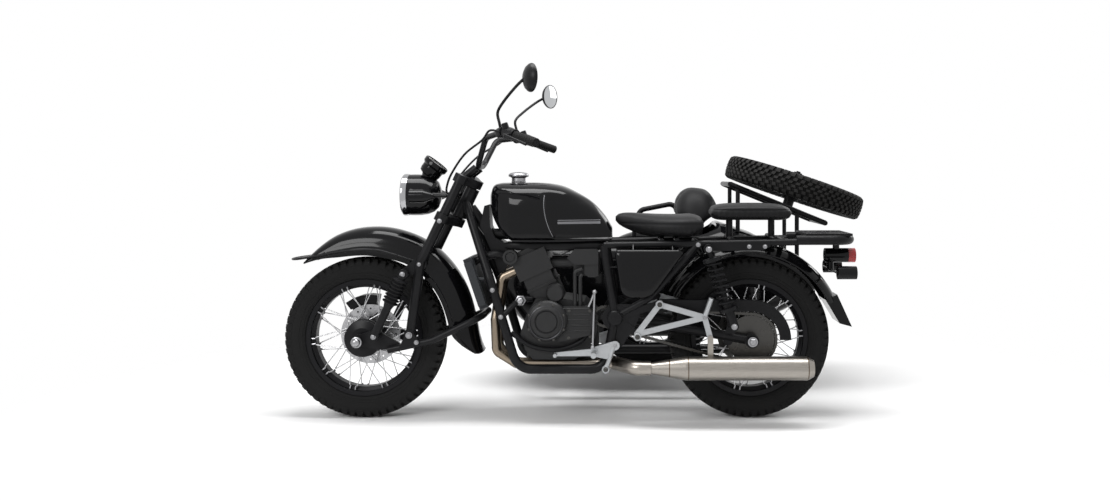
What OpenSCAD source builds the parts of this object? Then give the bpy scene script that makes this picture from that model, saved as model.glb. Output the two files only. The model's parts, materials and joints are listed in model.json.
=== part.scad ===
// Sidecar motorcycle: a solo machine with a leading-link fork, and a one-seat sidecar on its right.
// Rearward is X, the rider's right is Y and up is Z. Places are first taken from the front axle,
// the solo machine's mid-plane and the floor, and the whole is then moved to its middle.

/* [Layout] */
// distance between the front and the rear axle
wheelbase = 1605; // [1300:1:1900]
// height of the upper fork clamp above the floor
stature = 996; // [850:1:1150]
// rake of the steering axis from upright, in degrees
rake = 25.7; // [18:0.1:32]
// gap left between pieces that are bolted together
fit = 0.4; // [0.3:0.1:1]
// gap left around pieces that move
run = 6; // [5:0.5:12]
// how far a cut runs past the face that it opens
over = 2; // [1:0.5:5]
// thickness of the end slices of a curved body
slice_t = 0.4; // [0.2:0.1:1]

/* [Wheels] */
// outer radius of the tyres, to the tread
tyre_r = 335; // [280:1:380]
// half the width of the tyres
tyre_half = 55; // [40:1:80]
// radius of the bead seat of the rims
rim_r = 228.6; // [200:0.1:260]
// half the width between the rim flanges
rim_half = 38; // [28:1:55]
// height of the rim flange above the bead seat
flange_h = 14; // [8:0.5:20]
// wall thickness of the rims
rim_wall = 4.5; // [3:0.5:8]
// depth of the rim's middle well
well_h = 16; // [8:1:24]
// number of wire spokes in a wheel
spoke_n = 40; // [20:4:60]
// thickness of a spoke
spoke_d = 4.2; // [3:0.1:6]
// angle that a spoke leans round the wheel, in degrees
spoke_lean = 42; // [20:1:60]
// radius of the hub flanges that hold the spokes
hub_r = 66; // [50:1:90]
// half the distance between the hub flanges
hub_half = 36; // [25:1:50]
// radius of the hub barrel
barrel_r = 40; // [28:1:50]
// thickness of the axles
axle_d = 20; // [14:1:28]
// half the width of a hub at its ends
hub_end = 62; // [50:1:80]
// radius of the brake discs
disc_r = 126; // [100:1:150]
// thickness of the brake discs
disc_t = 5; // [4:0.5:8]

/* [Fork] */
// half the distance between the fork legs
fork_half = 118; // [100:1:150]
// thickness of the fork tubes
fork_d = 40; // [32:1:50]
// distance of the fork tubes ahead of the steering axis
yoke_offset = 45; // [30:1:70]
// distance between the two fork clamps
yoke_gap = 176; // [140:1:220]
// thickness of the fork clamps
yoke_t = 34; // [20:1:50]
// thickness of the steering stem
stem_d = 30; // [22:1:36]
// wall of the frame's head tube
head_wall = 14; // [8:1:20]
// thickness of the leading-link tube
link_d = 28; // [22:1:36]
// thickness of the leading-link plates
link_t = 14; // [8:1:20]
// bend radius of the leading-link loop
link_bend = 70; // [50:1:95]
// thickness of the front damper covers
boot_d = 62; // [45:1:75]
// thickness of the front damper rods
rod_d = 34; // [20:1:44]

/* [Front fender] */
// radius of the crown of the front fender
fender_r = 458; // [400:1:520]
// half the width of the front fender at its lips
fender_half = 90; // [80:1:91]
// thickness of the fender sheet
sheet_t = 4; // [2:0.5:6]
// how far the sides of the front fender come down
fender_drop = 66; // [30:1:90]
// flare of the front fender's lips
lip_flare = 6; // [3:0.5:8]

/* [Headlight and bars] */
// radius of the headlight
lamp_r = 88; // [70:1:110]
// depth of the headlight
lamp_len = 145; // [110:1:190]
// thickness of the handlebar tube
bar_d = 24; // [20:0.5:30]
// half the width over the handlebar
bar_half = 430; // [360:1:480]
// bend radius of the handlebar
bar_bend = 60; // [40:1:80]
// thickness of the grips
grip_d = 36; // [30:1:44]
// length of the grips
grip_len = 125; // [100:1:150]
// radius of the mirrors
mirror_r = 55; // [40:1:75]
// depth of the mirror shells
mirror_len = 30; // [18:1:50]
// thickness of the mirror stalks
stalk_d = 12; // [8:1:16]
// radius of the turn indicators
blinker_r = 27; // [18:1:36]
// length of the turn indicators
blinker_len = 95; // [60:1:130]
// radius of the instrument
dial_r = 54; // [40:1:70]

/* [Frame] */
// half the width of the frame at the engine
frame_half = 140; // [120:1:170]
// thickness of the cradle tubes
cradle_d = 37; // [28:1:44]
// thickness of the seat rails
rail_d = 28; // [22:1:36]
// thickness of the backbone tube
backbone_d = 46; // [36:1:56]
// bend radius of the frame tubes
frame_bend = 80; // [60:1:110]
// radius of the pivot plates
pivot_r = 52; // [40:1:65]

/* [Engine] */
// half the width of the crankcase
case_half = 112; // [90:1:118]
// length of the crankcase
case_len = 318; // [260:1:340]
// height of the crankcase
case_h = 250; // [200:1:270]
// radius of the left generator cover
cover_r = 83; // [60:1:95]
// how far the covers stand out of the crankcase
cover_t = 70; // [40:1:85]
// half the width of the cylinder block
block_half = 96; // [70:1:110]
// length of the cylinder block
block_len = 120; // [90:1:150]
// lean of the cylinders, in degrees
block_lean = 24; // [0:1:35]
// thickness of the radiator
radiator_t = 36; // [24:1:44]
// height of the radiator along its slope
radiator_h = 214; // [160:1:240]
// half the width of the radiator
radiator_half = 150; // [110:1:165]

/* [Exhaust] */
// thickness of the exhaust header
pipe_d = 38; // [30:1:45]
// thickness of the silencer
silencer_d = 95; // [70:1:110]
// distance of the silencer from the mid-plane
silencer_y = 192; // [180:1:230]

/* [Tank, seats and panels] */
// half the width of the tank
tank_half = 150; // [110:1:180]
// height of the tank
tank_h = 246; // [180:1:280]
// length of the tank
tank_len = 505; // [420:1:530]
// radius of the filler cap
cap_r = 43; // [30:1:55]
// height of the filler cap
cap_h = 44; // [25:1:60]
// half the width of the saddle
saddle_half = 155; // [110:1:180]
// height of the saddle
saddle_h = 100; // [70:1:130]
// half the width of the pillion pad
pillion_half = 118; // [90:1:140]
// height of the pillion pad
pillion_h = 70; // [45:1:90]
// thickness of the side panels
panel_t = 26; // [12:1:34]

/* [Tail] */
// thickness of the rear rack tube
rack_d = 40; // [28:1:46]
// half the width of the rack plate
plate_half = 105; // [80:1:118]
// length of the rack plate
plate_len = 190; // [140:1:220]
// thickness of the rack plate
plate_t = 6; // [4:0.5:10]
// bolt spacing along the rack plate
bolt_x = 120; // [80:1:150]
// bolt spacing across the rack plate
bolt_y = 140; // [90:1:170]
// radius of the bolt holes in the rack plate
bolt_r = 4.5; // [3:0.1:6]
// radius of the crown of the rear fender
rear_fender_r = 398; // [370:1:415]
// half the width of the rear fender
rear_fender_half = 88; // [70:1:100]
// radius of the tail light
tail_r = 30; // [20:1:40]

/* [Rear suspension and chain] */
// distance of the swinging arm's tubes from the mid-plane
arm_y = 111; // [106:1:112]
// thickness of the swinging arm's tubes
arm_d = 38; // [28:1:42]
// distance of the rear dampers from the mid-plane
damper_y = 168; // [160:1:190]
// thickness of the dampers
damper_d = 38; // [28:1:46]
// thickness of the coil springs' wire
coil_d = 9; // [6:0.5:12]
// radius of the coil springs
coil_r = 29; // [24:1:36]
// distance of the chain from the mid-plane
chain_y = 80; // [74:1:84]
// width of the chain
chain_w = 17; // [10:1:20]
// radius of the rear sprocket
sprocket_r = 98; // [80:1:110]
// radius of the front sprocket
pinion_r = 32; // [24:1:38]
// height of the chain's side plates
chain_h = 13; // [8:1:16]

/* [Sidecar] */
// distance of the sidecar body's middle from the solo machine
tub_y = 600; // [560:1:680]
// half the width of the sidecar body
tub_half = 265; // [220:1:280]
// length of the sidecar body
tub_len = 1510; // [1300:1:1560]
// height of the sidecar body
tub_h = 560; // [450:1:620]
// ground clearance of the sidecar body
tub_z = 250; // [240:1:300]
// wall thickness of the sidecar body
tub_wall = 14; // [8:1:20]
// distance of the sidecar wheel from the solo machine
track = 1052; // [1000:1:1200]
// distance of the sidecar wheel ahead of the rear axle
lead = 385; // [250:1:450]
// thickness of the sidecar chassis tubes
chassis_d = 42; // [34:1:48]
// thickness of the struts between the two
strut_d = 30; // [24:1:36]
// radius of the sidecar fender
side_fender_r = 392; // [370:1:420]
// thickness of the spare wheel's rack tubes
spare_d = 25; // [18:1:30]
// slope of the rack and the spare wheel, in degrees
spare_deg = 18.6; // [0:0.1:30]
// radius of the boot lid's hinge knuckles
knuckle_r = 8; // [5:0.5:12]

/* [Hidden] */
$fn = 48;
// the wheels' axles
front_axle = [0, 0, tyre_r];
rear_axle = [wheelbase, 0, tyre_r];
side_axle = [wheelbase - lead, track, tyre_r];
// the steering axis: its way up, its way back and its upper point
steer_up = [sin(rake), 0, cos(rake)];
steer_back = [cos(rake), 0, -sin(rake)];
yoke_top = at([0.2592, 0, 1], 0);
steer_top = yoke_top + yoke_offset * steer_back;
// columns: part of the tyre's radius above the rim, part of its half width
tyre_shares = [[0.2, 0.92], [0.55, 1], [0.84, 0.97], [0.96, 0.82], [1, 0.45]];
bead = [[rim_r + fit, rim_half - fit], [rim_r + flange_h + 2 * fit, rim_half - fit]];
tyre_side = concat(bead, [for (s = tyre_shares) [rim_r + s[0] * (tyre_r - rim_r), s[1] * tyre_half]]);
tyre_profile = concat(tyre_side, [for (i = [len(tyre_side) - 1 : -1 : 0])
    [tyre_side[i][0], -tyre_side[i][1]]]);
// the spare wheel's middle
spare_at = [1.178 * wheelbase, tub_y - 0.15 * tub_half, 0.957 * stature];
// ends of the fenders, in degrees up from level at the rear
fender_ends = [-7, 133];
rear_fender_ends = [24, 150];
// the middle of the whole machine
front_x = fender_r * cos(fender_ends[1]);
rear_x = max([for (p = tyre_profile) spare_at[0] + p[0] * cos(spare_deg) + p[1] * sin(spare_deg)]);
left_y = -bar_half - mirror_r;
right_y = track + rear_fender_half;
middle = [(front_x + rear_x) / 2, (left_y + right_y) / 2, 0];

// a place from its shares of the wheelbase, a half width and the stature
function at(share, half) = [share[0] * wheelbase, share[1] * half, share[2] * stature];
function places(shares, half) = [for (s = shares) at(s, half)];
function unit(v) = v / norm(v);
function along(a, b, far) = a + far * unit(b - a);
function bend_deg(a, b, c) = acos(min(1, unit(b - a) * unit(c - b)));
swell_share = 1.03;
function setback(a, b, c, r) = r * tan(bend_deg(a, b, c) / 2);

module stand() {
    translate(-middle) children();
}

module both() {
    children();
    mirror([0, 1, 0]) children();
}

// a round bar between two places
module bar(a, b, d) {
    v = b - a;
    translate(a) rotate([0, acos(v[2] / norm(v)), atan2(v[1], v[0])]) cylinder(h = norm(v), d = d);
}

// a bored sleeve between two places
module sleeve(a, b, d, bore) {
    difference() {
        bar(a, b, d);
        bar(along(a, b, -over), along(b, a, -over), bore);
    }
}

// the bend of a tube at the middle one of three places
module elbow(a, b, c, d, bend) {
    u = unit(b - a);
    v = unit(c - b);
    inward = unit(v - u * (u * v));
    side = cross(u, inward);
    o = b - u * setback(a, b, c, bend) + inward * bend;
    multmatrix([[-inward[0], u[0], side[0], o[0]], [-inward[1], u[1], side[1], o[1]],
        [-inward[2], u[2], side[2], o[2]]])
        rotate_extrude(angle = bend_deg(a, b, c)) translate([bend, 0]) circle(d = d);
}

// a tube through several places, with round bends
module tube(path, d, bend) {
    last = len(path) - 1;
    for (i = [0 : last - 1]) {
        a = path[i];
        b = path[i + 1];
        start = i > 0 ? setback(path[i - 1], a, b, bend) - over : 0;
        stop = i < last - 1 ? setback(a, b, path[i + 2], bend) - over : 0;
        bar(along(a, b, start), along(b, a, stop), d);
    }
    if (last > 1) for (i = [1 : last - 1])
        elbow(path[i - 1], path[i], path[i + 1], swell_share * d, bend);
}

// a flat piece drawn from the side, at a distance y to the right
module slab(y, t) {
    translate([0, y, 0]) rotate([90, 0, 0]) linear_extrude(height = t, center = true) children();
}

// a turned piece about an axle
module turned(o) {
    translate(o) rotate([90, 0, 0]) rotate_extrude($fn = 96) children();
}

// two round eyes joined by a straight web, drawn from the side
module link(a, b, d, e) {
    u = unit(b - a);
    n = [-u[1], u[0]];
    translate(a) circle(d = d);
    translate(b) circle(d = e);
    polygon([a + n * d / 2, b + n * e / 2, b - n * e / 2, a - n * d / 2]);
}

// an oval outline, from round at power 2 to nearly square at a high power
function oval(half, low, high, power, n) = [for (i = [0 : n - 1])
    let (c = cos(i * 360 / n), s = sin(i * 360 / n))
    [half * sign(c) * pow(abs(c), 2 / power), (low + high) / 2 + (high - low) / 2 * sign(s) * pow(abs(s),
        2 / power)]];

// a curved body through oval outlines
// columns: part of the length, of the half width, of the height at the bottom and at the top, power
module loft(shares, o, len, half, high, inset, n) {
    for (i = [0 : len(shares) - 2]) hull() for (k = [i, i + 1]) {
        s = shares[k];
        x = min(max(s[0] * len, inset), len - inset - slice_t);
        translate(o + [x, 0, 0]) rotate([90, 0, 90]) linear_extrude(height = slice_t)
            polygon(oval(s[1] * half - inset, s[2] * high + inset, s[3] * high - inset, s[4], n));
    }
}

// a coil spring that stands on the middle of its lower end
module coil(r, d, high, turns) {
    round_n = 12;
    wire_n = 6;
    steps = round_n * turns;
    points = [for (i = [0 : steps]) for (j = [0 : wire_n - 1])
        let (a = i * 360 / round_n, b = (j + 1 / 2) * 360 / wire_n)
        [(r + d / 2 * cos(b)) * cos(a), (r + d / 2 * cos(b)) * sin(a),
            d / 2 + (high - d) * i / steps + d / 2 * sin(b)]];
    sides = [for (i = [0 : steps - 1]) for (j = [0 : wire_n - 1]) let (k = (j + 1) % wire_n)
        [i * wire_n + j, i * wire_n + k, (i + 1) * wire_n + k, (i + 1) * wire_n + j]];
    polyhedron(points, concat(sides, [[for (j = [wire_n - 1 : -1 : 0]) j],
        [for (j = [0 : wire_n - 1]) steps * wire_n + j]]));
}

// a curved sheet round an axle, drawn as a crown with two sides
module mudguard(o, r, half, drop, flare, ends) {
    crown_n = 12;
    outer = [for (i = [0 : crown_n]) let (t = -1 + 2 * i / crown_n)
        [r - drop * (1 - sqrt(1 - t * t * 0.98)), t * half]];
    inner = [for (i = [crown_n : -1 : 0]) let (t = -1 + 2 * i / crown_n)
        [r - sheet_t - drop * (1 - sqrt(1 - t * t * 0.98)), t * (half - sheet_t)]];
    edge = r - drop;
    translate(o) rotate([90, 0, 0]) rotate([0, 0, ends[0]])
        rotate_extrude(angle = ends[1] - ends[0], $fn = 96) {
            polygon(concat(outer, inner));
            for (s = [-1, 1]) translate([edge + drop * 0.1, s * half]) circle(r = flare);
        }
}

module tyre(o) {
    turned(o) polygon(tyre_profile);
}

module rim_outline() {
    well_half = 0.5 * rim_half;
    slope_half = 0.75 * rim_half;
    inner = rim_r - rim_wall;
    polygon([[rim_r + flange_h, -rim_half - rim_wall], [rim_r + flange_h, -rim_half - fit],
        [rim_r - fit, -rim_half - fit], [rim_r - fit, -slope_half], [rim_r - well_h, -well_half],
        [rim_r - well_h, well_half], [rim_r - fit, slope_half], [rim_r - fit, rim_half + fit],
        [rim_r + flange_h, rim_half + fit], [rim_r + flange_h, rim_half + rim_wall],
        [inner, rim_half + rim_wall], [inner, slope_half], [inner - well_h, well_half],
        [inner - well_h, -well_half], [inner, -slope_half], [inner, -rim_half - rim_wall]]);
}

module hub_outline() {
    flange_t = 0.2 * hub_half;
    bore = axle_d / 2 + fit;
    polygon([[bore, -hub_end], [barrel_r, -hub_end], [barrel_r, -hub_half - flange_t],
        [hub_r, -hub_half - flange_t], [hub_r, -hub_half], [barrel_r, -hub_half + flange_t],
        [barrel_r, hub_half - flange_t], [hub_r, hub_half], [hub_r, hub_half + flange_t],
        [barrel_r, hub_half + flange_t], [barrel_r, hub_end], [bore, hub_end]]);
}

// a rim, a hub and two rows of crossed wire spokes
module wire_wheel(o) {
    turned(o) rim_outline();
    turned(o) hub_outline();
    for (side = [-1, 1]) for (i = [0 : spoke_n / 2 - 1]) {
        lean = i % 2 == 0 ? spoke_lean : -spoke_lean;
        head = i % 2 == 0 ? 0.3 : 1;
        a = (i + side / 4) * 720 / spoke_n;
        low_r = hub_r + fit;
        high_r = rim_r - rim_wall - fit;
        foot = [low_r * cos(a), side * (hub_half + head * 0.2 * hub_half), low_r * sin(a)];
        tip = [high_r * cos(a + lean), side * 0.86 * rim_half, high_r * sin(a + lean)];
        translate(o) bar(foot, tip, spoke_d);
    }
}

// pieces of the solo machine

cradle_shares = [[0.261, 0.14, 0.901], [0.333, 0.86, 0.59], [0.364, 1, 0.44], [0.405, 1, 0.224],
    [0.629, 1, 0.224], [0.652, 1, 0.436], [0.624, 0.9, 0.728]];
diagonal_shares = [[0.652, 1, 0.436], [0.74, 1.04, 0.516], [0.862, 0.9, 0.732]];
rail_shares = [[0.624, 0.9, 0.728], [1.113, 0.9, 0.742]];
backbone_shares = [[0.272, 0, 0.878], [0.322, 0, 0.768], [0.585, 0, 0.768], [0.624, 0, 0.728]];
shock_top = at([0.887, 0, 0.717], 0) + [0, damper_y, 0];
shock_foot = at([0.951, 0, 0.404], 0) + [0, damper_y, 0];
pivot = at([0.652, 0, 0.435], 0);
bracket_shares = [[0.764, 0.49], [0.707, 0.37], [0.878, 0.438], [0.892, 0.354]];
bracket_at = [for (s = bracket_shares) [s[0] * wheelbase, s[1] * stature]];
// cross bars between the rails. columns: part of the wheelbase, of the half width and of the stature
cross_shares = [[0.624, 0.9, 0.722], [0.862, 0.9, 0.732], [1.09, 0.9, 0.742]];
// the thin cross bars below the engine
mount_shares = [0.43, 0.6];
mount_d = 0.4 * rail_d;
mount_z = 0.224 * stature - 0.33 * cradle_d;
post_shares = [0.77, 0.81, 0.95, 1.06];
pad_shares = [0.36, 0.52];
rail_slope = (rail_shares[1][2] - rail_shares[0][2]) / (rail_shares[1][0] - rail_shares[0][0]);
tunnel_r = backbone_d / 2 + run;

module main_frame() color("#1a1b1d") stand() {
    head_low = steer_top - (yoke_gap - yoke_t / 2 - run) * steer_up;
    head_high = steer_top - (yoke_t / 2 + run) * steer_up;
    difference() {
        union() {
            bar(head_low, head_high, stem_d + 2 * head_wall);
            both() tube(places(cradle_shares, frame_half), cradle_d, frame_bend);
            tube(places(backbone_shares, frame_half), backbone_d, frame_bend / 2);
        }
        bar(head_low - over * steer_up, head_high + over * steer_up, stem_d + 2 * fit);
    }
    both() {
        tube(places(diagonal_shares, frame_half), rail_d, frame_bend);
        tube(places(rail_shares, frame_half), rail_d, frame_bend);
        slab(frame_half, cradle_d / 2) {
            translate([pivot[0], pivot[2]]) circle(r = pivot_r);
            for (i = [0, 1]) link([pivot[0], pivot[2]], bracket_at[i], rail_d, rail_d);
        }
        bar([shock_top[0], 0.9 * frame_half, shock_top[2]], shock_top + [0, damper_d / 2, 0], rail_d / 2);
    }
    for (s = cross_shares) bar(at([s[0], -s[1], s[2]], frame_half), at(s, frame_half), 0.9 * rail_d);
    for (x = mount_shares) bar([x * wheelbase, -frame_half, mount_z],
        [x * wheelbase, frame_half, mount_z], mount_d);
    for (x = post_shares) {
        z = (rail_shares[0][2] + (x - rail_shares[0][0]) * rail_slope) * stature + rail_d / 2;
        top = x < rail_shares[1][0] * 0.8 ? saddle_at[2] : pillion_at[2];
        bar([x * wheelbase, -0.9 * frame_half, z], [x * wheelbase, 0.9 * frame_half, z], 0.7 * rail_d);
        bar([x * wheelbase, 0, z], [x * wheelbase, 0, top - fit], rail_d);
    }
    pad_r = backbone_d / 8;
    high = sqrt(tunnel_r * tunnel_r - pad_r * pad_r) - fit;
    for (x = pad_shares) translate(at([x, 0, backbone_shares[1][2]], 0)) cylinder(r = pad_r, h = high);
}

radiator_top = at([0.276, 0, 0.674], 0);
radiator_lean = 18.8;

module radiator() color("#222326") stand() {
    core_share = 0.86;
    fin_n = 18;
    pitch = radiator_h / (fin_n + 1);
    translate(radiator_top) rotate([0, -radiator_lean, 0]) {
        translate([0, 0, -radiator_h / 2]) difference() {
            cube([radiator_t, 2 * radiator_half * core_share, radiator_h], center = true);
            for (i = [1 : fin_n]) translate([-radiator_t / 2, 0, i * pitch - radiator_h / 2])
                cube([radiator_t / 2, 1.8 * radiator_half * core_share, pitch / 2], center = true);
        }
        for (s = [-1, 1]) translate([0, s * radiator_half * core_share, -radiator_h / 2])
            cube([radiator_t * core_share, 2 * radiator_half * (1 - core_share), radiator_h * core_share],
                center = true);
    }
    both() {
        post = at(cradle_shares[1], frame_half);
        bar(post - [0.055 * wheelbase / 2 + radiator_t / 2, 0, 0], post - [0.61 * cradle_d + fit, 0, 0],
            0.4 * cradle_d);
    }
}

case_at = at([0.41, 0, 0.258], 0);
case_shares = [[0.06, 0.16], [0.16, 0], [0.7, 0], [0.86, 0.14], [0.98, 0.42], [1, 0.72], [0.82, 0.94],
    [0.54, 1], [0.2, 1], [0.08, 0.74], [0, 0.42]];
cover_at = at([0.48, 0, 0.423], 0);
// the round covers' steps. columns: part of the radius, part of the depth
cover_shares = [[1, -0.2], [1, 0.66], [0.92, 0.78], [0.62, 1], [0.57, 1], [0.57, 0.9], [0.52, 0.9],
    [0.5, 0.97], [0, 0.97]];
// the sprocket cover's outline. columns: part of the crankcase's length and height
guard_shares = [[0.5, 0.32], [0.62, 0.34], [0.9, 0.42], [0.94, 0.6], [0.93, 0.8], [0.88, 0.89],
    [0.56, 0.89]];
guard_ribs = 5;
starter_at = at([0.5, 0, 0.533], 0);
starter_r = 0.46 * cover_r;
// the air box beside the intake and the filter box below it. columns: part of the wheelbase and of the stature
airbox_shares = [[0.53, 0.676], [0.548, 0.712], [0.605, 0.712], [0.609, 0.706], [0.609, 0.655],
    [0.604, 0.65], [0.55, 0.65]];
filter_shares = [[0.574, 0.66], [0.609, 0.66], [0.609, 0.604], [0.6, 0.598], [0.584, 0.598],
    [0.574, 0.612]];
// the twin hoses' foot and top
hose_at = at([0.55, 0, 0.45], 0);
hose_top = 0.622 * stature;
hose_d = 0.15 * case_half;
hose_pitch = 1.3 * hose_d;

module engine_case() color("#3a3b3d") stand() {
    output = at([0.623, 0, 0.432], 0);
    difference() {
        slab(0, 2 * case_half) polygon([for (s = case_shares)
            [case_at[0] + s[0] * case_len, case_at[2] + s[1] * case_h]]);
        slab(-chain_y, chain_w + 2 * run) translate([output[0], output[2]])
            circle(r = pinion_r + chain_h + run);
    }
    both() turned(cover_at) polygon(concat([[0, case_half - 0.2 * cover_t]],
        [for (s = cover_shares) [s[0] * cover_r, case_half + s[1] * cover_t]]));
    guard_t = 0.55 * cover_t;
    rib = 0.09 * case_h;
    slab(-case_half - guard_t / 2 + over, guard_t)
        polygon([for (s = guard_shares) [case_at[0] + s[0] * case_len, case_at[2] + s[1] * case_h]]);
    for (i = [1 : guard_ribs]) bar([cover_at[0] + 0.7 * cover_r, -case_half - guard_t + over,
        case_at[2] + 0.4 * case_h + i * rib],
        [case_at[0] + 0.9 * case_len, -case_half - guard_t + over, case_at[2] + 0.4 * case_h + i * rib],
            rib / 3);
    turned(starter_at) polygon([[0, block_half + fit], [starter_r, block_half + fit],
        [starter_r, case_half + 0.3 * cover_t],
        [0.8 * starter_r, case_half + 0.5 * cover_t], [0, case_half + 0.5 * cover_t]]);
    for (k = [0, 1]) {
        foot = [hose_at[0] + k * hose_pitch, -1.15 * case_half, hose_at[2]];
        knee = [foot[0], foot[1], hose_top - k * hose_pitch];
        tube([foot, knee, [filter_shares[0][0] * wheelbase - fit - hose_d / 2, foot[1],
            knee[2] + hose_pitch / 2]], hose_d, 0.8 * hose_d);
    }
    slab(0, case_half) link([case_at[0] + 0.8 * case_len, output[2]], [output[0], output[2]],
        2 * pinion_r, pinion_r);
    bar(output - [0, chain_y + chain_w / 2, 0], output, 0.8 * pinion_r);
    for (x = mount_shares) bar([x * wheelbase, 0, mount_z + mount_d / 2 + fit],
        [x * wheelbase, 0, case_at[2] + 0.5 * case_h], rail_d);
}

head_foot = [case_at[0] + 0.34 * case_len, 0, case_at[2] + case_h + fit];
head_h = 0.2 * stature;

// a place on the leaning cylinder block
function leaned(x, y, z) = head_foot + [x * cos(block_lean) - z * sin(block_lean), y,
    x * sin(block_lean) + z * cos(block_lean)];

module engine_head() color("#454648") stand() {
    translate(head_foot) rotate([0, -block_lean, 0]) {
        intersection() {
            translate([-block_len / 2, -block_half, -head_h]) cube([block_len, 2 * block_half, 2 * head_h]);
            rotate([0, block_lean, 0]) translate([-2 * head_h, -block_half, 0])
                cube([4 * head_h, 2 * block_half, 2 * head_h]);
        }
        translate([-0.62 * block_len, -1.08 * block_half, 0.52 * head_h])
            cube([1.24 * block_len, 2.16 * block_half, 0.48 * head_h]);
        translate([-0.54 * block_len, -1.04 * block_half, 0.24 * head_h])
            cube([1.08 * block_len, 2.08 * block_half, 0.05 * head_h]);
        translate([-0.5 * block_len, -0.94 * block_half, 0.9 * head_h])
            cube([0.8 * block_len, 1.88 * block_half, 0.2 * head_h]);
    }
    boss_r = block_half / 3.2;
    boss_t = 0.3 * block_half;
    turned(leaned(-0.56 * block_len, 0, 1.08 * head_h))
        polygon([[0, 0.9 * block_half], [boss_r, 0.9 * block_half],
        [boss_r, block_half + boss_t], [0.7 * boss_r, block_half + boss_t],
            [0.6 * boss_r, block_half + 0.8 * boss_t],
        [0, block_half + 0.8 * boss_t]]);
    box_t = 0.45 * block_half;
    slab(-block_half - box_t / 2 + over, box_t)
        polygon([for (s = airbox_shares) [s[0] * wheelbase, s[1] * stature]]);
    slab(-block_half - 0.4 * box_t + over, 0.8 * box_t)
        polygon([for (s = filter_shares) [s[0] * wheelbase, s[1] * stature]]);
    intake = at([0.545, 0, 0.6], 0);
    translate(intake - [0, block_half, 0]) cube(at([0.065, 2, 0.09], block_half));
    both() bar(leaned(0, block_half / 2, 0.76 * head_h), intake + at([0.01, 0.5, 0.05], block_half),
        0.5 * block_half);
}

tank_at = at([0.3285, 0, 0.738], 0);
tank_shares = [[0, 0.34, 0.34, 0.84, 2.2], [0.02, 0.56, 0.16, 0.94, 2.4], [0.08, 0.76, 0.04, 0.99, 2.6],
    [0.2, 0.94, 0, 1, 2.7], [0.4, 1, 0, 1, 2.7], [0.58, 0.94, 0, 0.95, 2.7], [0.72, 0.8, 0, 0.82, 2.6],
    [0.84, 0.68, 0, 0.66, 2.5], [0.94, 0.6, 0, 0.44, 2.4], [1, 0.5, 0.03, 0.24, 2.3]];

module fuel_tank() color("#0d0d0f") stand() {
    axis_z = backbone_shares[1][2] * stature;
    difference() {
        loft(tank_shares, tank_at, tank_len, tank_half, tank_h, 0, 28);
        translate([tank_at[0] - over, 0, axis_z]) rotate([0, 90, 0])
            cylinder(r = tunnel_r, h = tank_len + 2 * over);
        translate([tank_at[0] - over, -tunnel_r, axis_z - tank_h])
            cube([tank_len + 2 * over, 2 * tunnel_r, tank_h]);
    }
}

module fuel_cap() color("#c8c9cc") stand() {
    translate(tank_at + [0.22 * tank_len, 0, tank_h + fit]) {
        cylinder(r = 0.7 * cap_r, h = 0.5 * cap_h);
        translate([0, 0, 0.5 * cap_h]) cylinder(r = cap_r, h = 0.34 * cap_h);
        translate([0, 0, 0.84 * cap_h]) cylinder(r1 = cap_r, r2 = 0.8 * cap_r, h = 0.16 * cap_h);
    }
}

panel_shares = [[0.652, 0.7], [0.66, 0.712], [0.81, 0.712], [0.824, 0.698], [0.748, 0.528], [0.735, 0.516],
    [0.676, 0.516], [0.666, 0.53]];

module side_covers() color("#0e0e10") stand() {
    both() slab(1.04 * frame_half + rail_d / 2 + fit + panel_t / 2, panel_t)
        polygon([for (s = panel_shares) [s[0] * wheelbase, s[1] * stature]]);
}

saddle_at = at([0.652, 0, 0.758], 0);
saddle_shares = [[0, 0.1, 0.66, 0.84, 2], [0.04, 0.2, 0.5, 0.95, 2.2], [0.14, 0.34, 0.3, 1, 2.4],
    [0.32, 0.6, 0.06, 0.97, 2.6], [0.5, 0.86, 0, 0.94, 2.8], [0.72, 1, 0, 0.93, 3],
        [0.88, 0.98, 0.02, 0.94, 3],
    [0.97, 0.88, 0.2, 0.84, 2.6], [1, 0.76, 0.36, 0.7, 2.4]];
saddle_len = 0.226 * wheelbase;
pillion_at = at([0.9, 0, 0.828], 0);
pillion_shares = [[0, 0.72, 0.3, 0.62, 2.4], [0.03, 0.86, 0.1, 0.82, 2.8], [0.12, 0.97, 0, 0.94, 3],
    [0.3, 1, 0, 1, 3.2], [0.7, 1, 0, 1, 3.2], [0.88, 0.96, 0, 0.92, 3], [0.97, 0.84, 0.1, 0.74, 2.8],
    [0.99, 0.76, 0.18, 0.66, 2.6], [1, 0.7, 0.3, 0.56, 2.4]];
pillion_len = 0.206 * wheelbase;

module saddle() color("#161617") stand() {
    loft(saddle_shares, saddle_at, saddle_len, saddle_half, saddle_h, 0, 24);
}

module pillion_pad() color("#161617") stand() {
    loft(pillion_shares, pillion_at, pillion_len, pillion_half, pillion_h, 0, 24);
}

rack_at = at([1.113, 0, 0.75], 0) + [fit, 0, 0];
rack_end = 1.256 * wheelbase;

module rear_rack() color("#1b1c1e") stand() {
    half = 0.9 * frame_half;
    tube([[rack_at[0], -half, rack_at[2]], [rack_end, -half, rack_at[2]], [rack_end, half, rack_at[2]],
        [rack_at[0], half, rack_at[2]]], rack_d, frame_bend);
    plate_z = rack_at[2] + 0.4 * rack_d;
    difference() {
        translate([rack_end - plate_len, -plate_half - rack_d / 2, plate_z])
            cube([plate_len, 2 * plate_half + rack_d, plate_t + 0.1 * rack_d]);
        for (s = [-1, 1]) for (k = [0, 1])
            translate([rack_end - 0.5 * plate_len + (k - 0.5) * bolt_x, s * bolt_y / 2, plate_z - over])
                cylinder(r = bolt_r, h = plate_t + rack_d);
    }
}

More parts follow.
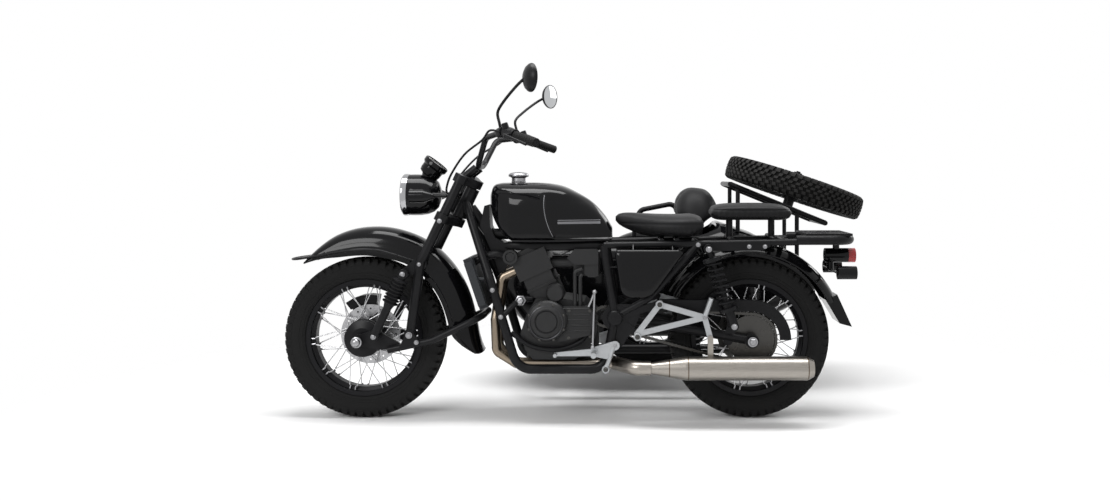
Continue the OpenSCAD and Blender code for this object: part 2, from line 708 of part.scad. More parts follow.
module rear_fender() color("#0d0d0f") stand() {
    mudguard(rear_axle, rear_fender_r, rear_fender_half, 0.12 * rear_fender_r, sheet_t, rear_fender_ends);
    flap_shares = [[1.194, 0.497], [1.224, 0.52], [1.262, 0.386], [1.23, 0.4]];
    slab(0, 1.6 * rear_fender_half) polygon([for (s = flap_shares) [s[0] * wheelbase, s[1] * stature]]);
    for (s = [[0.862, 0, 0.732], [1.09, 0, 0.742]]) {
        top = at(s, 0) - [0, 0, rail_d / 2 + fit];
        far = norm([top[0] - rear_axle[0], top[2] - rear_axle[2]]);
        bar(along(top, rear_axle, far - rear_fender_r + 2 * sheet_t), top, 0.8 * rail_d);
    }
}

tail_at = at([1.2, 0, 0.678], 0);

module rear_lamps() color("#17181a") stand() {
    bar(tail_at, tail_at + [0.06 * wheelbase, 0, 0], 2 * tail_r);
    bar(tail_at + [0.03 * wheelbase, 0, 0], [tail_at[0] + 0.03 * wheelbase, 0,
        rack_at[2] + 0.4 * rack_d - fit], rail_d);
    low = [tail_at[0] + 0.015 * wheelbase, 0, tail_at[2] - 2 * tail_r];
    bar(low + [0, -frame_half, 0], low + [0, frame_half, 0], 0.4 * blinker_r);
    bar(low, tail_at + [0.015 * wheelbase, 0, 0], rail_d);
    both() bar(low + [0, frame_half, 0], low + [0.8 * blinker_len, frame_half, 0], 2 * blinker_r);
}

module tail_lens() color("#a3141b") stand() {
    start = tail_at + [0.06 * wheelbase + fit, 0, 0];
    bar(start, start + [tail_r, 0, 0], 2 * tail_r);
}

// how far in the arm's tubes are at the pivot, as part of their distance at the axle
arm_in_share = 0.88;

module swingarm() color("#1c1d1f") stand() {
    plate_in = frame_half - swell_share * cradle_d / 2 - 3 * fit;
    bar([pivot[0], -plate_in, pivot[2]], [pivot[0], plate_in, pivot[2]], 1.1 * arm_d);
    both() {
        bar([pivot[0], arm_in_share * arm_y, pivot[2]], rear_axle + [0, arm_y, 0], arm_d);
        slab(arm_y, 1.1 * arm_d) translate([rear_axle[0], rear_axle[2]]) circle(d = 1.5 * arm_d);
        slab(arm_y, arm_d / 2) link([shock_foot[0] - arm_d / 2, rear_axle[2]],
            [shock_foot[0], shock_foot[2]], arm_d, arm_d);
        bar([shock_foot[0], arm_y, shock_foot[2]], shock_foot + [0, damper_d / 2, 0], rail_d / 2);
    }
    bar(rear_axle - [0, arm_y + arm_d, 0], rear_axle + [0, arm_y + arm_d, 0], axle_d);
    caliper(rear_axle, hub_end - disc_t, [128, 168]);
}

// an upright damper with its eyes and spring between two places
module damper(low, high) {
    len = norm(high - low);
    v = high - low;
    eye = damper_d / 2;
    bore = rail_d / 2 + 2 * fit;
    translate(low) rotate([0, acos(v[2] / len), atan2(v[1], v[0])]) {
        difference() {
            union() {
                cylinder(d = 0.5 * damper_d, h = len);
                cylinder(d = damper_d, h = 0.3 * len);
                for (z = [0.2, 0.84]) translate([0, 0, z * len])
                    cylinder(r = coil_r + coil_d, h = 0.04 * len);
                for (z = [0, len]) translate([0, 0, z]) rotate([90, 0, 0])
                    cylinder(r = eye, h = damper_d * 0.7, center = true);
            }
            for (z = [0, len]) translate([0, 0, z]) rotate([90, 0, 0])
                cylinder(d = bore, h = 2 * damper_d, center = true);
        }
        translate([0, 0, 0.24 * len + fit]) coil(coil_r, coil_d, 0.6 * len - 2 * fit, 8);
    }
}

module rear_shocks() color("#151517") stand() {
    both() damper(shock_foot, shock_top);
}

// the chain guard's outline, from an inner to an outer radius about the rear axle
module guard_outline(inner, outer) {
    start = 0.765 * wheelbase;
    translate([rear_axle[0], rear_axle[2]]) difference() {
        union() {
            circle(r = outer);
            translate([start - rear_axle[0], 0]) square([rear_axle[0] - start, outer]);
        }
        circle(r = inner);
        translate([-wheelbase, -2 * outer]) square([2 * wheelbase, 2 * outer]);
        translate([-wheelbase, -over]) square([wheelbase, inner + over]);
    }
}

module chain_guard() color("#2b2c2e") stand() {
    inner = sprocket_r + chain_h + run;
    outer = 1.4 * inner;
    side = arm_y - arm_d / 4;
    shelf = tyre_half + run;
    slab(-side, sheet_t) guard_outline(inner, outer);
    slab(-(side + shelf) / 2, side - shelf) guard_outline(outer - sheet_t, outer);
    strap = at([0.81, 0, 0.455], 0);
    share = (strap[0] - pivot[0]) / (rear_axle[0] - pivot[0]);
    rise = arm_d / 2 * norm(rear_axle - pivot) / (rear_axle[0] - pivot[0]);
    low = pivot[2] + share * (rear_axle[2] - pivot[2]) + rise + fit;
    slab(-side, sheet_t) translate([strap[0], low]) square([arm_d, rear_axle[2] + 1.1 * inner - low]);
}

// a place on a chain round two wheels, at a part of its length and a distance out of its middle line
function chain_place(a, b, ra, rb, share, out) =
    let (t = atan2(b[1] - a[1], b[0] - a[0]), k = acos((ra - rb) / norm(b - a)),
        run_len = norm(b - a) * sin(k),
        rear_len = rb * k * PI / 90, front_len = ra * (360 - 2 * k) * PI / 180,
        s = share * (rear_len + front_len + 2 * run_len))
    s < rear_len ? b + (rb + out) * heading(t - k + 2 * k * s / rear_len)
    : s < rear_len + run_len ? b + (rb + out) * heading(t + k) + (s - rear_len) / run_len * (a - b + (ra - rb) * heading(t + k))
    : s < rear_len + run_len + front_len ? a + (ra + out) * heading(t + k + (360 - 2 * k) * (s - rear_len - run_len) / front_len)
    : a + (ra + out) * heading(t - k) + (s - rear_len - run_len - front_len) / run_len * (b - a + (rb - ra) * heading(t - k));
function heading(a) = [cos(a), sin(a)];

module drive_chain() color("#4c4a45") stand() {
    links = 104;
    waist_share = 0.7;
    front = at([0.623, 0, 0.432], 0);
    a = [front[0], front[2]];
    b = [rear_axle[0], rear_axle[2]];
    half = chain_h / 2 - fit;
    edges = [for (side = [1, -1]) [for (i = [0 : 2 * links - 1])
        chain_place(a, b, pinion_r + chain_h / 2 + fit, sprocket_r + chain_h / 2 + fit, i / links / 2,
            side * half * (i % 2 == 0 ? 1 : waist_share))]];
    slab(-chain_y, chain_w) difference() {
        polygon(edges[0]);
        polygon(edges[1]);
    }
}

// routes of the two headers and of the collector
// columns: part of the wheelbase, of the silencer's distance from the mid-plane, and of the stature
left_shares = [[0.345, -0.5, 0.42], [0.348, -0.5, 0.29], [0.4, -0.5, 0.2375], [0.66, -0.5, 0.2375]];
right_shares = [[0.345, 0.1, 0.42], [0.352, -0.26, 0.3], [0.4, -0.26, 0.2375], [0.623, -0.26, 0.2375],
    [0.66, -0.5, 0.2375]];
collector_shares = [[0.645, -0.38, 0.239], [0.704, -1, 0.238], [0.742, -1, 0.238]];

module exhaust_pipe() color("#a9a6a1") stand() {
    port = [-0.62 * block_len, 0.3 * silencer_y, 0.76 * head_h];
    for (side = [-1, 1]) tube(concat([leaned(port[0] - fit, side * port[1], port[2]),
        leaned(port[0] - 1.8 * pipe_d, side * port[1], port[2])],
        places(side < 0 ? left_shares : right_shares, silencer_y)), side < 0 ? pipe_d : 0.94 * pipe_d,
            0.4 * frame_bend);
    tube(places(collector_shares, silencer_y), 1.5 * pipe_d, 0.6 * frame_bend);
}

module silencer() color("#b4b2ad") stand() {
    y = -silencer_y;
    start = [0.742 * wheelbase + fit, y, 0.238 * stature];
    cone = 0.086 * wheelbase;
    body = 0.304 * wheelbase;
    translate(start) rotate([0, 90, 0]) {
        cylinder(d1 = 1.2 * pipe_d, d2 = silencer_d, h = cone);
        translate([0, 0, cone]) cylinder(d = silencer_d, h = body);
        translate([0, 0, cone + body]) cylinder(d1 = silencer_d, d2 = 0.7 * silencer_d,
            h = 0.016 * wheelbase);
    }
    slab(-bracket_y - bracket_eye / 2 - fit, bracket_eye / 2) link(bracket_at[3],
        [bracket_at[3][0], start[2] + 0.3 * silencer_d], bracket_eye, bracket_eye);
}

module footrests() color("#b9babc") stand() {
    step = at([0.6, 0, 0.3], 0);
    side = frame_half + swell_share * cradle_d / 2 + fit;
    plate = 0.27 * cradle_d;
    both() {
        slab(side + plate / 2, plate) {
            link([step[0], step[2]], [step[0] + 0.052 * wheelbase, step[2] + 0.025 * stature], cradle_d,
                cradle_d);
            link([step[0], step[2]], [step[0] + 0.03 * wheelbase, step[2] - 0.01 * stature], cradle_d,
                cradle_d);
        }
        bar([step[0], side, step[2]], [step[0], side + 0.7 * frame_half, step[2]], 0.6 * cradle_d);
        slab(side + 1.6 * plate, plate) link([step[0], step[2]],
            [step[0] - 0.097 * wheelbase, step[2] - 0.008 * stature],
            0.8 * cradle_d, 0.4 * cradle_d);
        bar([step[0] - 0.097 * wheelbase, side + plate, step[2] - 0.008 * stature],
            [step[0] - 0.097 * wheelbase, side + 0.4 * frame_half, step[2] - 0.008 * stature],
                0.4 * cradle_d);
    }
}

bracket_eye = 0.8 * rail_d;
bracket_y = frame_half + cradle_d / 4 + fit + bracket_eye / 4;

module pillion_brackets() color("#b9babc") stand() {
    peg = [bracket_at[2][0], bracket_y, bracket_at[2][1]];
    both() {
        slab(bracket_y, bracket_eye / 2) for (k = [[0, 1], [0, 2], [1, 2], [2, 3]])
            link(bracket_at[k[0]], bracket_at[k[1]], bracket_eye, bracket_eye);
        bar(peg, peg + at([0.017, 0.1, 0.08], frame_half), bracket_eye);
    }
}

// pieces of the steered front end

link_pivot = at([0.131, 0, 0.3635], 0);
front_shock_top = at([0.1165, 0, 0.6135], 0);
front_shock_foot = at([0.0436, 0, 0.3595], 0);
leg_knee = at([0.155, 0, 0.652], 0);
bars_at = at([0.298, 0, 1.053], 0);

module fork() color("#1d1e20") stand() {
    side = [0, fork_half, 0];
    bar(steer_top - (yoke_gap + yoke_t / 2) * steer_up, steer_top + yoke_t * steer_up / 2, stem_d);
    for (z = [0, yoke_gap]) translate(yoke_top - z * steer_up) rotate([0, rake, 0])
        linear_extrude(height = yoke_t, center = true) {
            translate([yoke_offset, 0]) circle(d = 2 * stem_d);
            for (s = [-1, 1]) link([0, s * fork_half], [yoke_offset, 0], 1.5 * fork_d, 1.2 * fork_d);
        }
    both() {
        tube([yoke_top + side + yoke_t * steer_up / 2, leg_knee + side, link_pivot + side], fork_d,
            frame_bend);
        slab(fork_half, 0.8 * fork_d) translate([link_pivot[0], link_pivot[2]]) circle(d = 1.2 * fork_d);
        slab(fork_half, 0.3 * fork_d) link([leg_knee[0], leg_knee[2]],
            [front_shock_top[0], front_shock_top[2]], 1.4 * fork_d, fork_d);
        bar(front_shock_top + side, front_shock_top + side + [0, 1.15 * fork_d, 0], 0.4 * fork_d);
        post = yoke_top + [0, 0.4 * fork_half, 0] + yoke_t * steer_up / 2;
        bar(post - yoke_t * steer_up / 4, along(bars_at + [0, 0.4 * fork_half, 0], post, bar_d / 2 + fit),
            1.5 * bar_d);
    }
}

// a brake caliper that reaches over the rim of a disc, between two angles
module caliper(o, y, ends) {
    face = y + disc_t / 2 + run;
    low = 0.74 * disc_r;
    rim = disc_r + run;
    high = 1.34 * disc_r;
    depth = 0.3 * disc_r;
    bridge = 0.16 * disc_r;
    angles = [for (i = [0 : 4]) ends[0] + i * (ends[1] - ends[0]) / 4];
    for (k = [[low, face, depth], [rim, face - bridge, bridge + over]])
        slab(k[1] + k[2] / 2, k[2]) translate([o[0], o[2]]) polygon(concat(
            [for (a = angles) high * [cos(a), sin(a)]],
                [for (i = [4 : -1 : 0]) k[0] * [cos(angles[i]), sin(angles[i])]]));
}

// columns: part of the wheelbase and of the stature
plate_shares = [[0, 0.36], [0.03, 0.376], [0.052, 0.376], [0.066, 0.36], [0.104, 0.325], [0.1, 0.306],
    [0.084, 0.297], [0.055, 0.3], [0.006, 0.312]];
gusset_shares = [[0.123, 0.374], [0.14, 0.374], [0.16, 0.33], [0.106, 0.314]];
loop_shares = [[0.075, 0.3], [0.187, 0.339], [0.312, 0.436]];

module leading_link() color("#1f2022") stand() {
    plate_y = fork_half - 0.2 * fork_d;
    loop_y = fork_half + 0.25 * fork_d;
    gusset_t = 0.6 * link_t;
    gusset_y = fork_half + 0.5 * fork_d + fit + gusset_t / 2;
    both() {
        slab(plate_y, link_t) {
            polygon([for (s = plate_shares) [s[0] * wheelbase, s[1] * stature]]);
            translate([front_axle[0], front_axle[2]]) circle(d = 2.6 * axle_d);
        }
        slab(gusset_y, gusset_t) {
            polygon([for (s = gusset_shares) [s[0] * wheelbase, s[1] * stature]]);
            translate([link_pivot[0], link_pivot[2]]) circle(d = fork_d);
        }
        bar(front_shock_foot + [0, plate_y, 0], front_shock_foot + [0, fork_half + 1.15 * fork_d, 0],
            0.4 * fork_d);
    }
    side = [for (s = loop_shares) [s[0] * wheelbase, loop_y, s[1] * stature]];
    tube([side[0] - [0, 2 * loop_y, 0], side[1] - [0, 2 * loop_y, 0], side[2] - [0, 2 * loop_y, 0],
        side[2], side[1], side[0]], link_d, link_bend);
    bar(front_axle - [0, fork_half + fork_d, 0], front_axle + [0, fork_half + fork_d, 0], axle_d);
    caliper(front_axle, hub_end - disc_t, [78, 128]);
    slab(plate_y - 0.4 * link_t, 1.4 * link_t)
        link([front_shock_foot[0] / 2, front_shock_foot[2]],
            [front_axle[0] - 0.2 * disc_r, front_axle[2] + disc_r], 2 * link_d, 1.4 * link_d);
}

module front_shocks() color("#131314") stand() {
    both() translate([0, fork_half + 0.8 * fork_d, 0]) {
        v = front_shock_top - front_shock_foot;
        far = norm(v);
        translate(front_shock_foot) rotate([0, acos(v[2] / far), atan2(v[1], v[0])]) difference() {
            union() {
                cylinder(d = rod_d, h = far);
                translate([0, 0, 0.46 * far]) cylinder(d1 = rod_d, d2 = boot_d * 0.8, h = 0.1 * far);
                translate([0, 0, 0.56 * far]) cylinder(d = boot_d * 0.8, h = 0.36 * far);
                for (z = [0, far]) translate([0, 0, z]) rotate([90, 0, 0])
                    cylinder(d = fork_d, h = rod_d * 0.6, center = true);
            }
            for (z = [0, far]) translate([0, 0, z]) rotate([90, 0, 0])
                cylinder(d = 0.4 * fork_d + 2 * fit, h = 2 * boot_d, center = true);
        }
    }
}

// the flared lower end of the front fender. columns: part of the wheelbase and of the stature
flare_shares = [[0.275, 0.432], [0.281, 0.432], [0.3145, 0.303], [0.3095, 0.3]];

module front_fender() color("#0d0d0f") stand() {
    slab(0, 1.6 * fender_half) polygon([for (s = flare_shares) [s[0] * wheelbase, s[1] * stature]]);
    mudguard(front_axle, fender_r, fender_half, fender_drop, lip_flare, fender_ends);
    both() bar([leg_knee[0], 0.6 * fender_half, leg_knee[2] + 0.035 * stature],
        [leg_knee[0], fork_half - swell_share * fork_d / 2 - fit, leg_knee[2] + 0.035 * stature],
            0.5 * fork_d);
}

lamp_at = at([0.098, 0, 0.933], 0);

module headlight() color("#111113") stand() {
    translate(lamp_at) rotate([0, 90, 0]) rotate_extrude($fn = 72)
        polygon([[0, 0.12 * lamp_len], [0.9 * lamp_r, 0.12 * lamp_len], [0.9 * lamp_r, 0], [lamp_r, 0],
            [lamp_r, 0.16 * lamp_len],
            [0.94 * lamp_r, 0.18 * lamp_len], [0.92 * lamp_r, 0.5 * lamp_len],
                [0.78 * lamp_r, 0.78 * lamp_len], [0.5 * lamp_r, 0.95 * lamp_len], [0, lamp_len]]);
    leg_x = yoke_top[0] - (yoke_top[2] - lamp_at[2]) * tan(rake);
    both() {
        bar(lamp_at + [0.6 * lamp_len, lamp_r / 2, 0], [leg_x, 0.6 * fork_half, lamp_at[2]], 0.5 * fork_d);
        bar([leg_x, 0.55 * fork_half, lamp_at[2]], [leg_x, fork_half - fork_d / 2 - fit, lamp_at[2]],
            0.55 * fork_d);
    }
    dial = at([0.181, 0, 1.06], 0);
    translate(dial) rotate([0, 38, 0]) {
        translate([0, 0, -dial_r]) cylinder(r = dial_r, h = 0.9 * dial_r);
        cylinder(r = 0.8 * dial_r, h = 0.3 * dial_r, center = true);
    }
    bar(dial, lamp_at + [0.7 * lamp_len, 0, 0], 0.5 * dial_r);
}

module headlight_lens() color("#d6dbe0") stand() {
    translate(lamp_at + [0.12 * lamp_len - fit, 0, 0]) rotate([0, -90, 0])
        cylinder(r1 = 0.9 * lamp_r - fit, r2 = 0.6 * lamp_r, h = 0.16 * lamp_len);
}

bar_shares = [[0.298, 0, 1.053], [0.298, 0.16, 1.053], [0.326, 0.36, 1.168], [0.385, 0.7, 1.186],
    [0.47, 1, 1.137]];

module handlebar() color("#1b1c1e") stand() {
    p = places(bar_shares, bar_half);
    tube([p[4] - [0, 2 * p[4][1], 0], p[3] - [0, 2 * p[3][1], 0], p[2] - [0, 2 * p[2][1], 0],
        p[1] - [0, 2 * p[1][1], 0],
        p[1], p[2], p[3], p[4]], bar_d, bar_bend);
}

module grips() color("#161617") stand() {
    p = places(bar_shares, bar_half);
    both() sleeve(along(p[4], p[3], grip_len), p[4], grip_d, bar_d + 2 * fit);
}

module bar_controls() color("#18191b") stand() {
    p = places(bar_shares, bar_half);
    both() {
        sleeve(along(p[4], p[3], grip_len + 2 * fit + bar_d), along(p[4], p[3], grip_len + 2 * fit),
            1.3 * grip_d, bar_d + 2 * fit);
        root = along(p[4], p[3], grip_len + bar_d / 2);
        ahead = grip_d * unit(cross([0, 0, 1], p[4] - p[3]));
        tip = p[4] + 1.4 * ahead - [0, 0, 0.2 * grip_d];
        tube([root + 0.5 * ahead, root + 1.4 * ahead, tip], 0.3 * grip_d, 0.3 * grip_d);
    }
}

mirror_at = at([0.461, 1, 1.384], bar_half);

module mirrors() color("#121214") stand() {
    p = places(bar_shares, bar_half);
    foot = along(p[4], p[3], grip_len + bar_d / 2);
    both() {
        difference() {
            union() {
                tube([foot + [0, 0, 0.55 * grip_d], foot + [0, 0, 0.09 * stature],
                    mirror_at - [mirror_len / 2, 0, 0]], stalk_d, 2 * stalk_d);
                bar(mirror_at - [mirror_len, 0, 0], mirror_at, 2 * mirror_r);
            }
            bar(mirror_at - [0.2 * mirror_len, 0, 0], mirror_at + [over, 0, 0], 1.86 * mirror_r);
            bar(along(p[4], p[3], grip_len + 2 * fit + 2 * bar_d), along(p[4], p[3], grip_len - bar_d),
                1.3 * grip_d + 2 * fit);
        }
    }
}

module mirror_glass() color("#aeb6bf") stand() {
    both() bar(mirror_at - [0.2 * mirror_len - fit, 0, 0], mirror_at - [0.05 * mirror_len, 0, 0],
        1.86 * mirror_r - 2 * fit);
}

blinker_at = at([0.134, 1.28, 0.93], fork_half);

module front_indicators() color("#141416") stand() {
    both() {
        translate(blinker_at) rotate([0, 90, 0]) {
            cylinder(r = blinker_r, h = 0.6 * blinker_len);
            translate([0, 0, 0.6 * blinker_len]) cylinder(r1 = blinker_r, r2 = 0.4 * blinker_r,
                h = 0.4 * blinker_len);
        }
        leg_x = yoke_top[0] - (yoke_top[2] - blinker_at[2] + blinker_r / 4) * tan(rake);
        bar([blinker_at[0] + 0.7 * blinker_len, fork_half, blinker_at[2]],
            [leg_x - fork_d / 2 / cos(rake) - fit, fork_half, blinker_at[2]], 0.5 * blinker_r);
        bar(blinker_at + [0.75 * blinker_len, 0, 0],
            [blinker_at[0] + 0.75 * blinker_len, fork_half, blinker_at[2]],
            0.5 * blinker_r);
    }
}

module front_tyre() color("#1c1c1d") stand() {
    tyre(front_axle);
}

module front_wheel() color("#2a2b2d") stand() {
    wire_wheel(front_axle);
    cover_half = 1.15 * hub_r;
    turned(front_axle) polygon([[axle_d / 2 + fit, hub_end + fit], [cover_half, hub_end + fit],
        [cover_half, hub_end + 0.1 * cover_half],
        [0.6 * cover_half, hub_end + 0.24 * cover_half], [axle_d / 2 + fit, hub_end + 0.24 * cover_half]]);
}

// a brake disc with a ring of holes, beside the hub
module brake_disc(o, y, r) {
    hole_n = 24;
    bore_r = barrel_r + fit;
    difference() {
        turned(o + [0, y, 0]) polygon([[bore_r, -disc_t / 2], [r, -disc_t / 2], [r, disc_t / 2],
            [bore_r, disc_t / 2]]);
        for (i = [0 : hole_n - 1]) translate(o + [0, y, 0]) rotate([90, i * 360 / hole_n, 0])
            translate([(i % 2 == 0 ? 0.86 : 0.74) * r, 0, 0])
                cylinder(d = disc_t * 1.6, h = 4 * disc_t, center = true);
    }
}

module front_disc() color("#b5b6b8") stand() {
    brake_disc(front_axle, hub_end - disc_t, disc_r);
}

module rear_tyre() color("#1c1c1d") stand() {
    tyre(rear_axle);
}

module rear_wheel() color("#2a2b2d") stand() {
    wire_wheel(rear_axle);
}

module rear_sprocket() color("#77736a") stand() {
    brake_disc(rear_axle, hub_end - disc_t, disc_r);
    slab(-chain_y, disc_t) translate([rear_axle[0], rear_axle[2]]) difference() {
        circle(r = sprocket_r);
        circle(r = axle_d / 2 + fit);
    }
    turned(rear_axle) polygon([[axle_d / 2 + fit, hub_end + fit], [barrel_r, hub_end + fit],
        [barrel_r, chain_y], [axle_d / 2 + fit, chain_y]]);
}

// pieces of the sidecar

tub_at = [0.293 * wheelbase, tub_y, tub_z];
tub_shares = [[0, 0.3, 0.38, 0.56, 2.2], [0.02, 0.46, 0.26, 0.68, 2.4], [0.08, 0.66, 0.12, 0.76, 2.6],
    [0.18, 0.84, 0.03, 0.82, 3], [0.32, 0.96, 0, 0.85, 3.4], [0.5, 1, 0, 0.86, 3.6], [0.62, 1, 0, 0.9, 3.6],
    [0.7, 1, 0.02, 0.97, 3.6], [0.8, 0.98, 0.1, 0.88, 3.4], [0.9, 0.94, 0.22, 0.74, 3.2],
    [0.97, 0.86, 0.34, 0.6, 2.8], [1, 0.74, 0.4, 0.52, 2.6]];
// the cockpit's corners: part of the length, of the half width, and radius as part of the half width
cockpit_shares = [[0.37, 0, 0.7], [0.655, -0.54, 0.2], [0.655, 0.54, 0.2]];
wall_share = 0.704;
// the boot lid: front end, half width and lower edge
lid_shares = [0.88, 0.56, 0.42];
lid_pin = tub_at + [tub_len + run + knuckle_r, 0, lid_shares[2] * tub_h - run / 2];

module tub_shell(n) {
    difference() {
        loft(tub_shares, tub_at, tub_len, tub_half, tub_h, 0, n);
        difference() {
            loft(tub_shares, tub_at, tub_len, tub_half, tub_h, tub_wall, n);
            translate(tub_at + [wall_share * tub_len, -tub_half, 0]) cube([tub_wall, 2 * tub_half, tub_h]);
        }
    }
}

// the boot lid's outline, larger or smaller by a gap
module lid_room(gap) {
    half = lid_shares[1] * tub_half;
    translate(tub_at + [lid_shares[0] * tub_len - gap, -half - gap, lid_shares[2] * tub_h - gap])
        cube([tub_len, 2 * (half + gap), tub_h]);
}

// one leaf of the boot lid's hinge, between two places across the tail
module hinge_leaf(y0, y1, low, high) {
    translate([lid_pin[0], 0, lid_pin[2]]) {
        translate([0, tub_y + y0, 0]) rotate([-90, 0, 0]) cylinder(r = knuckle_r, h = y1 - y0);
        translate([fit - run - knuckle_r, tub_y + y0, low])
            cube([run + 0.6 * knuckle_r, y1 - y0, high - low]);
    }
}

module hinge_pin(r) {
    translate(lid_pin) rotate([90, 0, 0]) cylinder(r = r, h = 14 * knuckle_r, center = true);
}

module sidecar_tub() color("#101012") stand() {
    floor_z = tub_z + 0.9 * tub_wall;
    difference() {
        tub_shell(32);
        hull() for (s = cockpit_shares) translate(tub_at + [s[0] * tub_len, s[1] * tub_half, 0.5 * tub_h])
            cylinder(r = s[2] * tub_half, h = tub_h, $fn = 32);
        lid_room(run);
    }
    translate([tub_at[0] + 0.385 * tub_len, tub_y - seat_half / 2, floor_z])
        cube([0.18 * tub_len, seat_half, seat_foot - fit - floor_z]);
}

module boot_hinge() color("#18191b") stand() {
    for (s = [-1, 1]) hinge_leaf(s * 6 * knuckle_r - 1.8 * knuckle_r, s * 6 * knuckle_r + 1.8 * knuckle_r,
        -5 * knuckle_r, -run / 2);
    hinge_pin(knuckle_r / 2);
}

module lid_hinge() color("#18191b") stand() {
    difference() {
        hinge_leaf(-3.6 * knuckle_r, 3.6 * knuckle_r, run / 2, 5 * knuckle_r);
        hinge_pin(knuckle_r / 2 + fit / 4);
    }
}

module boot_lid() color("#101012") stand() {
    intersection() {
        tub_shell(32);
        lid_room(0);
    }
}

// a cushion between rounded edges, drawn from the side
module cushion(shares) {
    hull() for (s = shares) translate([tub_at[0] + s[0] * tub_len, tub_y, tub_z + s[1] * tub_h])
        rotate([90, 0, 0]) cylinder(d = cushion_edge, h = 2 * seat_half, center = true, $fn = 24);
}

seat_half = 0.72 * tub_half;
cushion_edge = 0.1 * tub_h;
seat_foot = tub_z + 0.14 * tub_h - cushion_edge / 2;

module sidecar_seat() color("#161617") stand() {
    cushion([[0.4, 0.14], [0.4, 0.34], [0.56, 0.14], [0.56, 0.32]]);
    cushion([[0.59, 0.14], [0.6, 0.14], [0.585, 1.2], [0.65, 1.2]]);
}

module sidecar_rail() color("#1b1c1e") stand() {
    y = tub_y + 0.8 * tub_half;
    tube([[0.7 * wheelbase, y, tub_z + 0.7986 * tub_h + fit], [0.72 * wheelbase, y, 0.84 * stature],
        [0.83 * wheelbase, y, 0.875 * stature], [0.86 * wheelbase, y, tub_z + 0.8406 * tub_h + fit]],
        spare_d, 1.5 * spare_d);
}

rail_z = tub_z - chassis_d / 2 - fit;
rail_in = tub_y - tub_half - chassis_d;
rail_out = tub_y + tub_half + chassis_d;

// a strut from a foot to a lug that stops short of the tube of radius r at its seat
module strut(foot, seat, r, gap) {
    head = seat + [0, r + strut_d, 0];
    bar(foot, along(head, foot, -strut_d / 2), strut_d);
    bar(head, seat + [0, r + gap, 0], 0.6 * strut_d);
}

module sidecar_chassis() color("#18191b") stand() {
    front = 0.42 * wheelbase;
    rear = 0.98 * wheelbase;
    tube([[front + 0.1 * wheelbase, rail_in, rail_z], [front, rail_in, rail_z], [front, rail_out, rail_z],
        [rear, rail_out, rail_z],
        [rear, rail_in, rail_z], [front + 0.1 * wheelbase, rail_in, rail_z]], chassis_d, frame_bend);
    side = frame_half + swell_share * cradle_d / 2 + fit;
    for (x = [0.46, 0.57]) bar([x * wheelbase, side, rail_z], [x * wheelbase, rail_in, rail_z], strut_d);
    for (x = [0.62, 0.84]) bar([x * wheelbase, rail_in, rail_z], [x * wheelbase, rail_out, rail_z],
        chassis_d);
    strut([0.46 * wheelbase, rail_in, rail_z],
        (at(cradle_shares[1], frame_half) + at(cradle_shares[2], frame_half)) / 2, cradle_d / 2, 5 * fit);
    strut([0.8 * wheelbase, rail_in, rail_z],
        at([0.84, 0.9, rail_shares[0][2] + (0.84 - rail_shares[0][0]) * rail_slope], frame_half),
            rail_d / 2, 2 * fit);
    bar([0.67 * wheelbase, rail_out, rail_z], [0.67 * wheelbase, rail_out, 0.6 * stature], 0.8 * chassis_d);
}

module sidecar_arm() color("#1b1c1e") stand() {
    y = track - hub_end - arm_d / 2 - run;
    low = [0.55 * wheelbase, y, rail_z];
    bar(low, [side_axle[0], y, side_axle[2]], arm_d);
    bar([low[0], rail_out + chassis_d / 2 + fit, low[2]], low + [0, arm_d / 2, 0], arm_d);
    bar([side_axle[0], y - arm_d / 2, side_axle[2]], side_axle + [0, hub_end + axle_d, 0], axle_d);
}

module sidecar_fender() color("#0d0d0f") stand() {
    mudguard(side_axle, side_fender_r, rear_fender_half - sheet_t, 0.12 * side_fender_r, sheet_t, [8, 172]);
    stay_r = 0.93 * side_fender_r;
    for (a = [45, 135]) bar([side_axle[0] + stay_r * cos(a), rail_out, rail_z + chassis_d / 2 + 2 * fit],
        side_axle + [stay_r * cos(a), -0.85 * rear_fender_half, stay_r * sin(a)], spare_d);
}

// columns: part of the rails' length, and height of the post's foot as part of the tub's height
rack_posts = [[0.08, 0.8934], [0.7, 0.6503]];

module spare_rack() color("#1b1c1e") stand() {
    half = 0.68 * tub_half;
    a = [0.98 * wheelbase, tub_y, 0.975 * stature];
    b = [1.256 * wheelbase, tub_y, 0.793 * stature];
    side = [0, half, 0];
    for (s = [-1, 1]) {
        bar(a + s * side, b + s * side, spare_d);
        for (k = rack_posts) {
            p = a + k[0] * (b - a) + s * side;
            bar([p[0], p[1], tub_z + k[1] * tub_h], p, 0.8 * spare_d);
        }
    }
    up = [sin(spare_deg), 0, cos(spare_deg)];
    seat = spare_at - (hub_end + fit) * up;
    cross_x = (seat[0] - a[0] - (seat[2] - a[2]) * tan(spare_deg)) / (b[0] - a[0] - (b[2] - a[2]) * tan(spare_deg));
    for (t = [0, cross_x, 1]) bar(a + t * (b - a) - side, a + t * (b - a) + side, 0.9 * spare_d);
    hub_post = a + cross_x * (b - a) + [0, spare_at[1] - tub_y, 0];
    bar(hub_post, seat, 2 * spare_d);
    bar(hub_post, spare_at + (hub_end + axle_d) * up, axle_d);
    bar(spare_at + (hub_end + fit) * up, spare_at + (hub_end + 0.7 * axle_d) * up, 2 * axle_d);
}

module spare_tyre() color("#1c1c1d") stand() {
    translate(spare_at) rotate([0, spare_deg, 0]) rotate([90, 0, 0]) tyre([0, 0, 0]);
}

module spare_wheel() color("#2a2b2d") stand() {
    translate(spare_at) rotate([0, spare_deg, 0]) rotate([90, 0, 0]) wire_wheel([0, 0, 0]);
}

module sidecar_tyre() color("#1c1c1d") stand() {
    tyre(side_axle);
}

